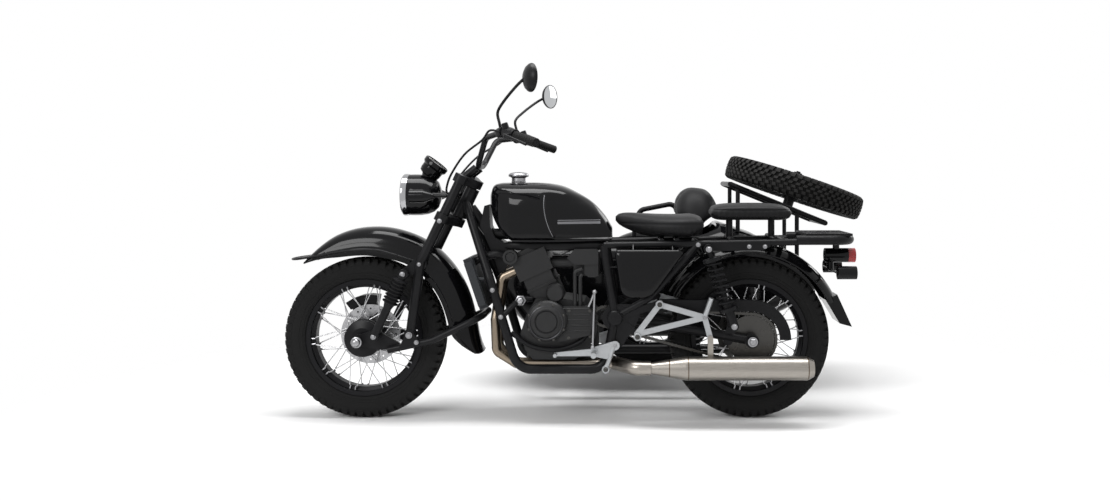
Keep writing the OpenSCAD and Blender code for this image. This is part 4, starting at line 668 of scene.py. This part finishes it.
# Bars, grips, mirrors and cables. Ribbed rubber grips and black clamped housings; round mirrors stand on
# bent steel stalks, and a sheathed cable runs from each end of the bars down to the headlamp's arms.
def ribbed(place):
    ribs = place.maths("SINE", place.axis(0) * 900)
    return {"Normal": ribs.bump(0.002, 0.6), "Roughness": 0.6 + place.noise(60) * 0.2}


coat("grips", material=finish("grip_rubber", (0.01, 0.01, 0.01), 0.7, ribbed, LOW_SHEEN))
BAR_BEND = (523, 155, 1163)
GRIP_INNER = (618, 301, 1181)
GRIP_OUTER = (754, 430, 1132)
MIRROR_TURN = math.radians(30)
MIRROR_AT = (733, 430, 1378)
MIRROR_BACK = [(0, -0.026), (0.012, -0.0255), (0.03, -0.021), (0.046, -0.012), (0.0535, -0.003),
               (0.055, 0.002), (0.0545, 0.005), (0.0525, 0.005), (0.052, 0.002), (0, 0.002)]
MIRROR_GLASS = [(0, 0.002), (0.0515, 0.002), (0.0515, 0.0035), (0.05, 0.0042), (0, 0.0042)]
STALK = [(604, 279, 1178), (596, 282, 1215), (590, 286, 1258), (622, 330, 1300), (676, 392, 1350)]
STALK_D = 0.0115
STALK_END = 0.02
CLAMP = [(0, -0.02), (0.02, -0.02), (0.022, -0.014), (0.022, 0.014), (0.02, 0.02), (0, 0.02)]
silvered = finish("mirror_silver", (0.5, 0.51, 0.52), 0.04,
                  lambda p: {"Roughness": 0.02 + p.noise(12) * 0.04}, METAL)
backs = bmesh.new()
glasses = bmesh.new()
for side in (-1, 1):
    face = Vector((math.cos(MIRROR_TURN), -side * math.sin(MIRROR_TURN), 0))
    middle = beside(side, *MIRROR_AT)
    turned(backs, MIRROR_BACK, 64, stand_on(middle, face))
    turned(glasses, MIRROR_GLASS, 64, stand_on(middle, face))
    rod(backs, [beside(side, *p) for p in STALK] + [middle - STALK_END * face], STALK_D)
    bar = beside(side, *GRIP_INNER) - beside(side, *BAR_BEND)
    turned(backs, CLAMP, 24, stand_on(beside(side, *STALK[0]), bar))
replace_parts(piece("mirror_backs", backs, satin_black, "steering"), "mirrors")
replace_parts(piece("mirror_faces", glasses, silvered, "steering"), "mirror_glass")

HOUSING = [(0, -0.024), (0.019, -0.024), (0.0235, -0.02), (0.0245, 0), (0.0235, 0.02), (0.019, 0.024),
           (0, 0.024)]
HOUSING_OUT = 0.03
KNOB = [(0, 0), (0.013, 0), (0.0135, 0.004), (0.0135, 0.02), (0.011, 0.023), (0, 0.023)]
KNOB_OFF = Vector((-0.012, 0, 0.018))
KNOB_LEAN = (-0.35, 0, 1)
bm = bmesh.new()
for side in (-1, 1):
    inner, outer = beside(side, *GRIP_INNER), beside(side, *GRIP_OUTER)
    along = (outer - inner).normalized()
    middle = inner + HOUSING_OUT * along
    turned(bm, HOUSING, 10, stand_on(middle, along))
    turned(bm, KNOB, 20, stand_on(middle + KNOB_OFF, KNOB_LEAN))
piece("bar_fittings", bm, cover_black, "steering")


def cord_of(name, points, d, body, material):
    """A cable or hose that is fixed at both ends, on a smooth line through places."""
    bm = bmesh.new()
    path = rod(bm, points, d)
    made = piece(name, bm, material, body)


CABLE = [(602, 301, 1181), (558, 289, 1185), (520, 232, 1150), (440, 172, 1095), (375, 112, 1015),
         (350, 78, 960), (350, 67, 931)]
CABLE_D = 0.009
for side, name in ((-1, "clutch_cable"), (1, "throttle_cable")):
    cord_of(name, [beside(side, *p) for p in CABLE], CABLE_D, "steering", cover_black)
coat("front_indicators", material=gloss_black)


# Fuel tank. A deep drawn gloss black shell with a knee recess behind a curved fold, a tunnel for the
# backbone, and a plain pair of grey lines along each flank; a thin painted highlight in the same grey runs
# along each fold, and a welded seam and a black tray close it below.
def lofted(bm, rows, low, high, stations, n, shape=None, squarer=1.0):
    """A closed skin between two corners, from rows of half width, low and high edge and fullness.
    Below the middle the section is squarer by a factor."""
    middle = (low.y + high.y) / 2
    rings = []
    for s in range(stations + 1):
        share = (1 - math.cos(math.pi * s / stations)) / 2
        half, foot, head, full = curve(rows, share)
        ring = []
        for i in range(n):
            a = 2 * math.pi * (i + 0.5) / n
            c, d = math.cos(a), math.sin(a)
            power = 2 / (full if d > 0 else full * squarer)
            y = half * (high.y - low.y) / 2 * math.copysign(abs(c) ** power, c)
            up = (foot + head) / 2 + (head - foot) / 2 * math.copysign(abs(d) ** power, d)
            point = Vector((low.x + share * (high.x - low.x), y, low.z + up * (high.z - low.z)))
            point = shape(point, share) if shape else point
            ring.append(bm.verts.new(point + Vector((0, middle, 0))))
        rings.append(ring)
    skin(bm, rings, n)
    bm.faces.new(rings[0])
    bm.faces.new(rings[-1])


def step(x, low, high):
    """Rises smoothly from 0 to 1 between two values."""
    t = max(0, min(1, (x - low) / (high - low)))
    return t * t * (3 - 2 * t)


def held(x, start, full, fade, end):
    """Rises from 0 to 1, stays there and falls again, between four values."""
    return step(x, start, full) * (1 - step(x, fade, end))


def back(x):
    """How far along the frame a distance in millimetres behind the front axle lies."""
    return at(x, 0, 0).x


# columns: part of the length, half width, low and high edge as parts of the box, fullness of the section
TANK_ROWS = [(0, 0.34, 0.6, 0.86, 2.2), (0.02, 0.52, 0.44, 0.95, 2.4), (0.07, 0.72, 0.24, 0.99, 2.6),
             (0.13, 0.84, 0.09, 1, 2.7), (0.2, 0.94, 0.01, 1, 2.7), (0.4, 1, 0, 1, 2.7),
             (0.58, 0.94, 0, 0.95, 2.7), (0.72, 0.8, 0, 0.82, 2.6), (0.84, 0.68, 0, 0.66, 2.5),
             (0.94, 0.6, 0, 0.44, 2.4), (1, 0.5, 0.03, 0.24, 2.3)]
TANK_SQUARER = 2.4
TUNNEL_R = 0.029
TUNNEL_Z = 0.765
KNEE_DEPTH = 0.013
KNEE_EASE = (-0.004, 0.008)
RIDGE = 0.0045
RIDGE_W = 0.005
# heights where the recess, and the ridge along its fold, start, are full, begin to fade and end
KNEE_Z = (0.746, 0.758, 0.9, 0.95)
RIDGE_Z = (0.75, 0.77, 0.925, 0.955)
FLANK = (0.02, 0.07)
FOLD_X = back(789)
FOLD_Z = 0.776
FOLD_H = 0.159
FOLD_SLOPE = 0.076
FOLD_BEND = 0.049
LINES_X = (back(812), back(985))
WIDE_LINE = (0.812, 0.822)
THIN_LINE = (0.826, 0.829)
# painted highlight along the fold: how far behind the fold it lies, and the heights that it runs between
PAINTED_FOLD_HIGHLIGHT = (-0.0045, -0.0015)
PAINTED_FOLD_HIGHLIGHT_Z = (0.762, 0.93)


def fold_at(z):
    """How far back the fold of the knee recess lies at a height, for a number or a Look."""
    rise = (z - FOLD_Z) * (1 / FOLD_H)
    return FOLD_X - rise * FOLD_SLOPE + rise * rise * FOLD_BEND


def tank_shape(point, share):
    """Cuts the tunnel and the knee recesses, and raises a ridge along their folds."""
    x, y, z = point
    if y * y < TUNNEL_R ** 2 and z < TUNNEL_Z:
        z = max(z, TUNNEL_Z + math.sqrt(TUNNEL_R ** 2 - y * y))
    behind = x - fold_at(z)
    recess = step(behind, *KNEE_EASE) * held(z, *KNEE_Z)
    ridge = math.exp(-((behind + RIDGE_W) / RIDGE_W) ** 2) * held(z, *RIDGE_Z)
    y -= math.copysign((KNEE_DEPTH * recess - RIDGE * ridge) * step(abs(y), *FLANK), y)
    return Vector((x, y, z))


def tank_paint(place):
    dust = place.noise(7, 4)
    x, z = place.axis(0), place.axis(2)
    lines = x.within(*LINES_X) * (z.within(*WIDE_LINE) + z.within(*THIN_LINE))
    # a painted highlight: a grey line along each fold stands for the light caught on the crest of the fold
    edge = (x - fold_at(z)).within(*PAINTED_FOLD_HIGHLIGHT) * z.within(*PAINTED_FOLD_HIGHLIGHT_Z)
    return {"Base Color": place.maths("MAXIMUM", lines, edge).colours(PAINT_BLACK, (0.17, 0.17, 0.18)),
            "Roughness": 0.07 + dust * 0.09, "Normal": place.noise(45, 2).bump(0.0006, 0.04)}


low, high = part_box("fuel_tank")
bm = bmesh.new()
lofted(bm, TANK_ROWS, low, high, 150, 128, tank_shape, TANK_SQUARER)
tank_black = finish("tank_black", PAINT_BLACK, 0.1, tank_paint, PAINT)
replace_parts(piece("tank_shell", bm, tank_black, "chassis", 50), "fuel_tank")

cap_low, cap_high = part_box("fuel_cap")
cap_foot = Vector(((cap_low.x + cap_high.x) / 2, (cap_low.y + cap_high.y) / 2, cap_low.z))
CAP = [(0, 0), (0.03, 0), (0.0305, 0.004), (0.029, 0.006), (0.029, 0.018), (0.032, 0.021), (0.041, 0.024),
       (0.0428, 0.027), (0.0428, 0.031), (0.041, 0.035), (0.033, 0.04), (0.016, 0.043), (0, 0.0438)]
bm = bmesh.new()
turned(bm, CAP, 48, stand_on(cap_foot, (0, 0, 1)))
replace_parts(piece("fuel_filler_cap", bm, plated, "chassis"), "fuel_cap")

TANK_SEAM_AT = [0.2 + 0.06 * k for k in range(14)]
TANK_SEAM_HALF = 0.142
TANK_SEAM_UP = 0.007
TANK_SEAM_D = 0.0085
TRAY_ROWS = [(0, 0.7, 0.2, 0.9, 5), (0.1, 0.9, 0, 1, 6), (0.9, 1, 0, 1, 6), (1, 0.9, 0.1, 0.9, 5)]
TRAY_LOW = at(590, -96, 700)
TRAY_HIGH = at(1000, 96, 737)
bm = bmesh.new()
for side in (-1, 1):
    edge = []
    for share in TANK_SEAM_AT:
        x = low.x + share * (high.x - low.x)
        y = front_axle.y + side * TANK_SEAM_HALF * curve(TANK_ROWS, share)[0]
        edge.append(Vector((x, y, low.z + TANK_SEAM_UP)))
    rod(bm, edge, TANK_SEAM_D, 8, 4)
lofted(bm, TRAY_ROWS, TRAY_LOW, TRAY_HIGH, 12, 32)
piece("tank_seam", bm, cover_black, "chassis")


# Side covers. Moulded panels in gloss black, domed towards the middle, with rounded edges; three pegs
# on the back of each one sit in the frame's tubes.
PANEL = [(1046.5, 697.2), (1059.3, 709.2), (1300, 709.2), (1322.5, 695.2), (1217, 549), (1196, 525),
         (1166, 514.5), (1112, 514.5), (1084, 524), (1068, 549)]
PANEL_CORNER = 9
PANEL_DEPTH = 0.026
PANEL_STEPS = [(1.015, 0), (1.015, 0.3), (0.988, 0.46), (0.955, 0.6), (0.89, 0.74), (0.78, 0.86),
               (0.62, 0.94), (0.42, 0.985), (0.2, 1), (0, 1)]
# columns: the peg's end in the panel and its end in the frame
PANEL_PEGS = [((1064, 168, 640), (1024, 140, 638)), ((1120, 167, 700), (1120, 136, 727)),
              ((1280, 167, 700), (1280, 136, 728))]
PEG_D = 0.009
low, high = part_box("side_covers")
outline = []
for i in range(len(PANEL)):
    before, here, after = (Vector(PANEL[(i + d) % len(PANEL)]) for d in (-1, 0, 1))
    into = here + (before - here).normalized() * PANEL_CORNER
    out = here + (after - here).normalized() * PANEL_CORNER
    outline += [(1 - t) ** 2 * into + 2 * t * (1 - t) * here + t * t * out for t in (0, 0.25, 0.5, 0.75, 1)]
centre = sum((Vector(p) for p in PANEL), Vector((0, 0))) / len(PANEL)
bm = bmesh.new()
for side, face in ((-1, low.y), (1, high.y)):
    rings = []
    for scale, deep in PANEL_STEPS:
        y = face - side * (1 - deep) * PANEL_DEPTH
        spots = [centre + (p - centre) * scale for p in (outline if scale else outline[:1])]
        rings.append([bm.verts.new((back(p.x), y, p.y * MM)) for p in spots])
    bm.faces.new(rings[0])
    skin(bm, rings, len(outline))
    for ends in PANEL_PEGS:
        rod(bm, [beside(side, *p) for p in ends], PEG_D, 12, 2)
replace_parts(piece("side_panels", bm, gloss_black, "chassis", 40), "side_covers")


# Engine. Sand cast light alloy painted black; the round covers are skimmed at their edges
# and held by small dark steel bolts, and the radiator stands ahead of it.
def cast_grain(place):
    return {"Normal": place.noise(420, 4).bump(0.0006, 0.35), "Roughness": 0.36 + place.noise(30) * 0.2}


CAST_SHEEN = {"Specular IOR Level": 0.28}
engine_black = finish("engine_black", (0.011, 0.011, 0.0115), 0.42, cast_grain, CAST_SHEEN)
coat("engine_case", "engine_head", material=engine_black)
coat("radiator", material=finish("radiator_grey", (0.03, 0.032, 0.035), 0.5, cast_grain, LOW_SHEEN))
COVER_AT = (769, 417)
COVER_BOLTS = 8
COVER_BOLT_OUT = 75
COVER_BOLT_R = 0.0042
# columns: rearward, up, radius of the head, in millimetres
ENGINE_BOLTS = [(858, 352, 5), (944, 352, 5), (944, 462, 5), (860, 462, 5)]
bm = bmesh.new()
for i in range(COVER_BOLTS):
    a = 2 * math.pi * (i + 0.5) / COVER_BOLTS
    x = COVER_AT[0] + COVER_BOLT_OUT * math.cos(a)
    z = COVER_AT[1] + COVER_BOLT_OUT * math.sin(a)
    for side in (LEFT, RIGHT):
        bolt(bm, seat("engine_case", x, z, side), side, COVER_BOLT_R)
for x, z, r in ENGINE_BOLTS:
    bolt(bm, seat("engine_case", x, z, LEFT), LEFT, r * MM)
piece("engine_bolts", bm, dark_steel, "chassis")
RING_R = 66
SKIMMED = [(0.064, -0.001), (0.0645, 0.0018), (0.066, 0.0024), (0.0675, 0.0018), (0.068, -0.001)]
skimmed_alloy = finish("skimmed_alloy", (0.05, 0.05, 0.053), 0.4, worn_steel, METAL)
bm = bmesh.new()
for side in (LEFT, RIGHT):
    face = seat("engine_case", COVER_AT[0] + RING_R, COVER_AT[1], side)
    middle = Vector((back(COVER_AT[0]), face.y, COVER_AT[1] * MM))
    turned(bm, SKIMMED, 72, stand_on(middle, side), closed=True)
piece("cover_rings", bm, skimmed_alloy, "chassis")


# Hoses and gear rod. A rubber coolant hose between radiator and engine, a breather hose below the cases,
# and the plated rod that links the gear lever to its shaft, with a ball joint at each end.
hose_rubber = finish("hose_rubber", (0.009, 0.009, 0.009), 0.6, powder, LOW_SHEEN)
# columns: rearward, to the right, up
COOLANT_HOSE = [(455, -62, 648), (500, -66, 672), (555, -68, 684), (608, -60, 674)]
COOLANT_D = 0.032
BREATHER = [(622, -126, 369), (655, -128, 346), (700, -129, 318), (760, -131, 304), (830, -131, 304),
            (900, -128, 330), (936, -120, 366)]
BREATHER_D = 0.019
bm = bmesh.new()
rod(bm, [at(*p) for p in COOLANT_HOSE], COOLANT_D, 20)
piece("engine_hoses", bm, hose_rubber, "chassis")
cord_of("breather_hose", [at(*p) for p in BREATHER], BREATHER_D, "chassis", hose_rubber)

# columns: route and diameter of the rod, the arm on its shaft and the peg in the lever, and steps along each
GEAR_BARS = [([(964, -168, 538), (960, -169, 430), (956, -170, 318)], 0.009, 6),
             ([(964, -167, 540), (952, -157, 508), (936, -140, 472)], 0.012, 6),
             ([(956, -172, 316), (956, -150, 305)], 0.01, 2)]
GEAR_BALLS = [(964, -168, 540), (956, -170, 316)]
BALL = [(0, -0.0105), (0.006, -0.009), (0.0098, -0.004), (0.0098, 0.004), (0.006, 0.009), (0, 0.0105)]
MOUNT_NUT = (661, -128, 501)
bm = bmesh.new()
for route, d, steps in GEAR_BARS:
    rod(bm, [at(*p) for p in route], d, 12, steps)
for p in GEAR_BALLS:
    turned(bm, BALL, 20, stand_on(at(*p), (0, 0, 1)))
turned(bm, DOME, 6, stand_on(at(*MOUNT_NUT), LEFT))
piece("gear_rod", bm, plated, "chassis")


# Frame plates. Welded steel in satin black: the engine's front mount, caps on the swinging arm's pivot,
# plates on the rear rails and round the pivot, and a closed cover on the steering neck.
MOUNT = [(590, -140, 440), (630, -132, 480), (661, -120, 501), (705, -104, 505)]
MOUNT_D = 0.024
PIVOT_AT = (1046, 433)
PIVOT_CAP = [(0, -0.004), (0.031, -0.004), (0.031, 0.006), (0.027, 0.011), (0.014, 0.013), (0, 0.0135)]
RAIL_FACE = 144
RAIL_PLATE = [(1416, 737), (1676, 741), (1676, 722), (1650, 706), (1420, 704)]
PIVOT_PLATE = [(1030, 487), (1164, 487), (1128, 396), (1076, 319), (1012, 300), (1034, 400)]
NECK_COVER = [(482, 800), (500, 884), (520, 890), (524, 800), (545, 752), (604, 722), (604, 640), (566, 590),
              (536, 680)]
# columns: outline, and where the plate's left and right faces lie
PLATES = [(RAIL_PLATE, -RAIL_FACE, -139), (RAIL_PLATE, 139, RAIL_FACE), (PIVOT_PLATE, -146, -138),
          (PIVOT_PLATE, 138, 146), (NECK_COVER, -44, 44)]
bm = bmesh.new()
rod(bm, [at(*p) for p in MOUNT], MOUNT_D, 16)
for side in (LEFT, RIGHT):
    turned(bm, PIVOT_CAP, 40, stand_on(seat("main_frame", *PIVOT_AT, side), side))
for outline, *faces in PLATES:
    rings = [[bm.verts.new(at(x, y, z)) for x, z in outline] for y in faces]
    skin(bm, rings, len(outline))
    bm.faces.new(rings[0])
    bm.faces.new(rings[1])
piece("frame_plates", bm, satin_black, "chassis")


# Frame bolts. Plated hexagon bolts at the engine's mounts, rails, swinging arm and foot controls;
# the footrests and the pillion brackets that they hold are bare cast alloy.
# columns: solid, rearward, up, radius of the head, in millimetres
FRAME_BOLTS = [("main_frame", 584, 438, 7), ("main_frame", 548, 545, 7),
               ("main_frame", 1384, 729, 7), ("main_frame", 1423.6, 714, 9),
               ("swingarm", 1526.4, 402.4, 9), ("pillion_brackets", 1226, 488, 7),
               ("pillion_brackets", 1135, 369, 6), ("pillion_brackets", 1409, 436, 6),
               ("pillion_brackets", 1432, 353, 6), ("footrests", 1047, 324, 6), ("swingarm", 1605, 335, 15)]
RAIL_BOLTS = [(1591, 722), (1655, 722)]
RAIL_BOLT_R = 0.0065
bm = bmesh.new()
for side in (LEFT, RIGHT):
    for node, x, z, r in FRAME_BOLTS:
        bolt(bm, seat(node, x, z, side), side, r * MM)
    for x, z in RAIL_BOLTS:
        bolt(bm, at(x, 0, z) + RAIL_FACE * MM * side, side, RAIL_BOLT_R)
piece("frame_bolts", bm, plated, "chassis")
bare_alloy = finish("bare_alloy", (0.36, 0.37, 0.38), 0.36, cast_grain, METAL)
coat("footrests", "pillion_brackets", material=bare_alloy)


# Bracket bosses. Cast light alloy: two bosses on the left pillion bracket and a bent arm below the
# footrest that ends in a third, each closed by a dark steel bolt.
# columns: rearward, to the right, up, radius, in millimetres
BOSSES = [(1227, -163, 489, 17), (1137, -163, 358, 16), (1009, -167, 228, 16)]
BOSS_UP = 0.006
BOSS = [(0, -BOSS_UP), (1, -BOSS_UP), (1, 0.004), (0.9, BOSS_UP), (0, BOSS_UP)]
BOSS_BOLT_R = 0.0075
BOSS_ARM = [(1040, -163, 318), (1026, -163, 276), (1010, -163, 232)]
BOSS_ARM_D = 0.02
alloy = bmesh.new()
heads = bmesh.new()
for x, y, z, r in BOSSES:
    face = at(x, y, z)
    turned(alloy, [(k * r * MM, h) for k, h in BOSS], 32, stand_on(face, LEFT))
    bolt(heads, face + BOSS_UP * LEFT, LEFT, BOSS_BOLT_R)
rod(alloy, [at(*p) for p in BOSS_ARM], BOSS_ARM_D, 16)
piece("bracket_bosses", alloy, bare_alloy, "chassis")
piece("bracket_bolts", heads, dark_steel, "chassis")


# Exhaust. Stainless tube and a brushed stainless silencer, slightly browned towards the engine;
# brown rings mark the welds at the silencer's joint with the pipe and near its two ends.
WELDS = (1262, 1338, 1815)
WELD_W = 4
WARM_X = (back(600), back(1250))


def brushed(place):
    lines = place.stretched(4, 160, 160).noise(6, 5)
    x = place.axis(0)
    warm = 1 - x.eased(*WARM_X)
    tone = warm.colours(lines.colours((0.2, 0.185, 0.165), (0.38, 0.355, 0.325)),
                        lines.colours((0.17, 0.135, 0.1), (0.27, 0.225, 0.175)))
    weld = sum(x.within(back(start), back(start + WELD_W)) for start in WELDS)
    return {"Roughness": 0.2 + lines * 0.22, "Normal": lines.bump(0.0003, 0.2),
            "Base Color": weld.colours(tone, (0.09, 0.065, 0.045))}


stainless = finish("stainless", (0.62, 0.59, 0.55), 0.3, brushed, METAL)
coat("exhaust_pipe", "silencer", material=stainless)


# Seats. Foam under black grained leather: a saddle with a seamed skirt, a flat pillion pad
# and a sidecar seat with a rolled back, all crowned and drawn in at their seams.
def leather(place):
    grain = place.cells(420)
    folds = place.noise(24, 4)
    return {"Normal": (grain * 0.5 + folds).bump(0.0012, 0.4), "Roughness": 0.38 + folds * 0.22}


black_leather = finish("black_leather", (0.009, 0.009, 0.0095), 0.45, leather, LOW_SHEEN)
SADDLE_ROWS = [(0, 0.1, 0.66, 0.84, 2), (0.04, 0.2, 0.5, 0.95, 2.2), (0.14, 0.34, 0.3, 1, 2.4),
               (0.32, 0.6, 0.06, 0.97, 2.6), (0.5, 0.86, 0, 0.94, 2.8), (0.72, 1, 0, 0.93, 3),
               (0.88, 0.98, 0.02, 0.94, 3), (0.97, 0.88, 0.2, 0.84, 2.6), (1, 0.76, 0.36, 0.7, 2.4)]
PILLION_ROWS = [(0, 0.72, 0.3, 0.62, 2.4), (0.03, 0.86, 0.1, 0.82, 2.8), (0.12, 0.97, 0, 0.94, 3),
                (0.3, 1, 0, 1, 3.2), (0.7, 1, 0, 1, 3.2), (0.88, 0.96, 0, 0.92, 3),
                (0.97, 0.84, 0.1, 0.74, 2.8), (1, 0.7, 0.3, 0.56, 2.4)]
GROOVE = 0.0035
GROOVE_W = 0.035
SKIRT_RIB = 0.0012
SKIRT_TURNS = 260
WAIST = 0.002


def drawn_in(low, high, seam):
    """Pulls a groove into a cushion along its seam, ribs the skirt below it and draws in the sides."""
    def shape(point, share):
        up = (point.z - low.z) / (high.z - low.z)
        groove = GROOVE * math.exp(-((up - seam) / GROOVE_W) ** 2)
        ribs = SKIRT_RIB * math.cos(SKIRT_TURNS * point.x) * step(seam - up, 0.06, 0.2)
        waist = WAIST * step(abs(point.y), 0.02, 0.06) * step(up, 0, 0.3)
        point.y -= math.copysign(groove + ribs + waist, point.y)
        return point
    return shape


def cushion(name, rows, low, high, stations, shape, node=None):
    """A padded piece in leather, which may stand for a solid."""
    bm = bmesh.new()
    lofted(bm, rows, low, high, stations, 96, shape)
    made = piece(name, bm, black_leather, "chassis", 60)
    if node:
        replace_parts(made, node)


# columns: solid, rows, height of the seam as a part of the cushion's, how much of it is filled
TOP_SEATS = [("saddle", SADDLE_ROWS, 0.56, 0.8), ("pillion_pad", PILLION_ROWS, 0.62, 0.85)]
for node, rows, seam, fill in TOP_SEATS:
    low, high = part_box(node)
    cushion(node + "_cushion", rows, low, high, 90, drawn_in(low, high, seam), node)

BACK_ROWS = [(0, 0.6, 0.3, 0.82, 2.4), (0.06, 0.82, 0.12, 0.92, 2.8), (0.25, 0.98, 0.02, 0.99, 3.2),
             (0.5, 1, 0, 1, 3.4), (0.75, 0.96, 0.04, 0.97, 3), (0.94, 0.8, 0.16, 0.86, 2.6),
             (1, 0.6, 0.3, 0.74, 2.4)]
BACK_FOOT_X = back(1407)
BACK_NECK = (0.775, 0.85)
BACK_KEPT = 0.34
CHANNELS = (-0.065, 0.065)
CHANNEL_W = 0.006
CHANNEL_DEPTH = 0.005


def rolled(point, share):
    """Narrows the back below the cockpit's edge and presses two upright channels into it."""
    kept = BACK_KEPT + (1 - BACK_KEPT) * step(point.z, *BACK_NECK)
    point.x = BACK_FOOT_X + (point.x - BACK_FOOT_X) * kept
    channel = sum(math.exp(-((point.y - y) / CHANNEL_W) ** 2) for y in CHANNELS)
    point.x += CHANNEL_DEPTH * channel * (1 if share < 0.5 else -1)
    return point


BACK_LOW, BACK_HIGH = at(1316, 418, 299.5), at(1540, 782, 952)
SEAT_LOW, SEAT_HIGH = at(1048, 410, 302), at(1398, 790, 466)
cushion("sidecar_back_cushion", BACK_ROWS, BACK_LOW, BACK_HIGH, 64, rolled, "sidecar_seat")
cushion("sidecar_seat_cushion", PILLION_ROWS, SEAT_LOW, SEAT_HIGH, 64,
        drawn_in(SEAT_LOW, SEAT_HIGH, 0.62))


# Tail lamp. Clear red plastic, moulded with fine ridges, in a gloss black housing;
# the rear indicators beside it are black too.
def moulded(place):
    ridges = place.maths("SINE", place.axis(2) * 900)
    return {"Normal": ridges.bump(0.001, 0.4), "Roughness": 0.08 + place.noise(30) * 0.05}


coat("rear_lamps", material=gloss_black)
coat("tail_lens", material=finish("red_lens", (0.35, 0.008, 0.01), 0.12, moulded))
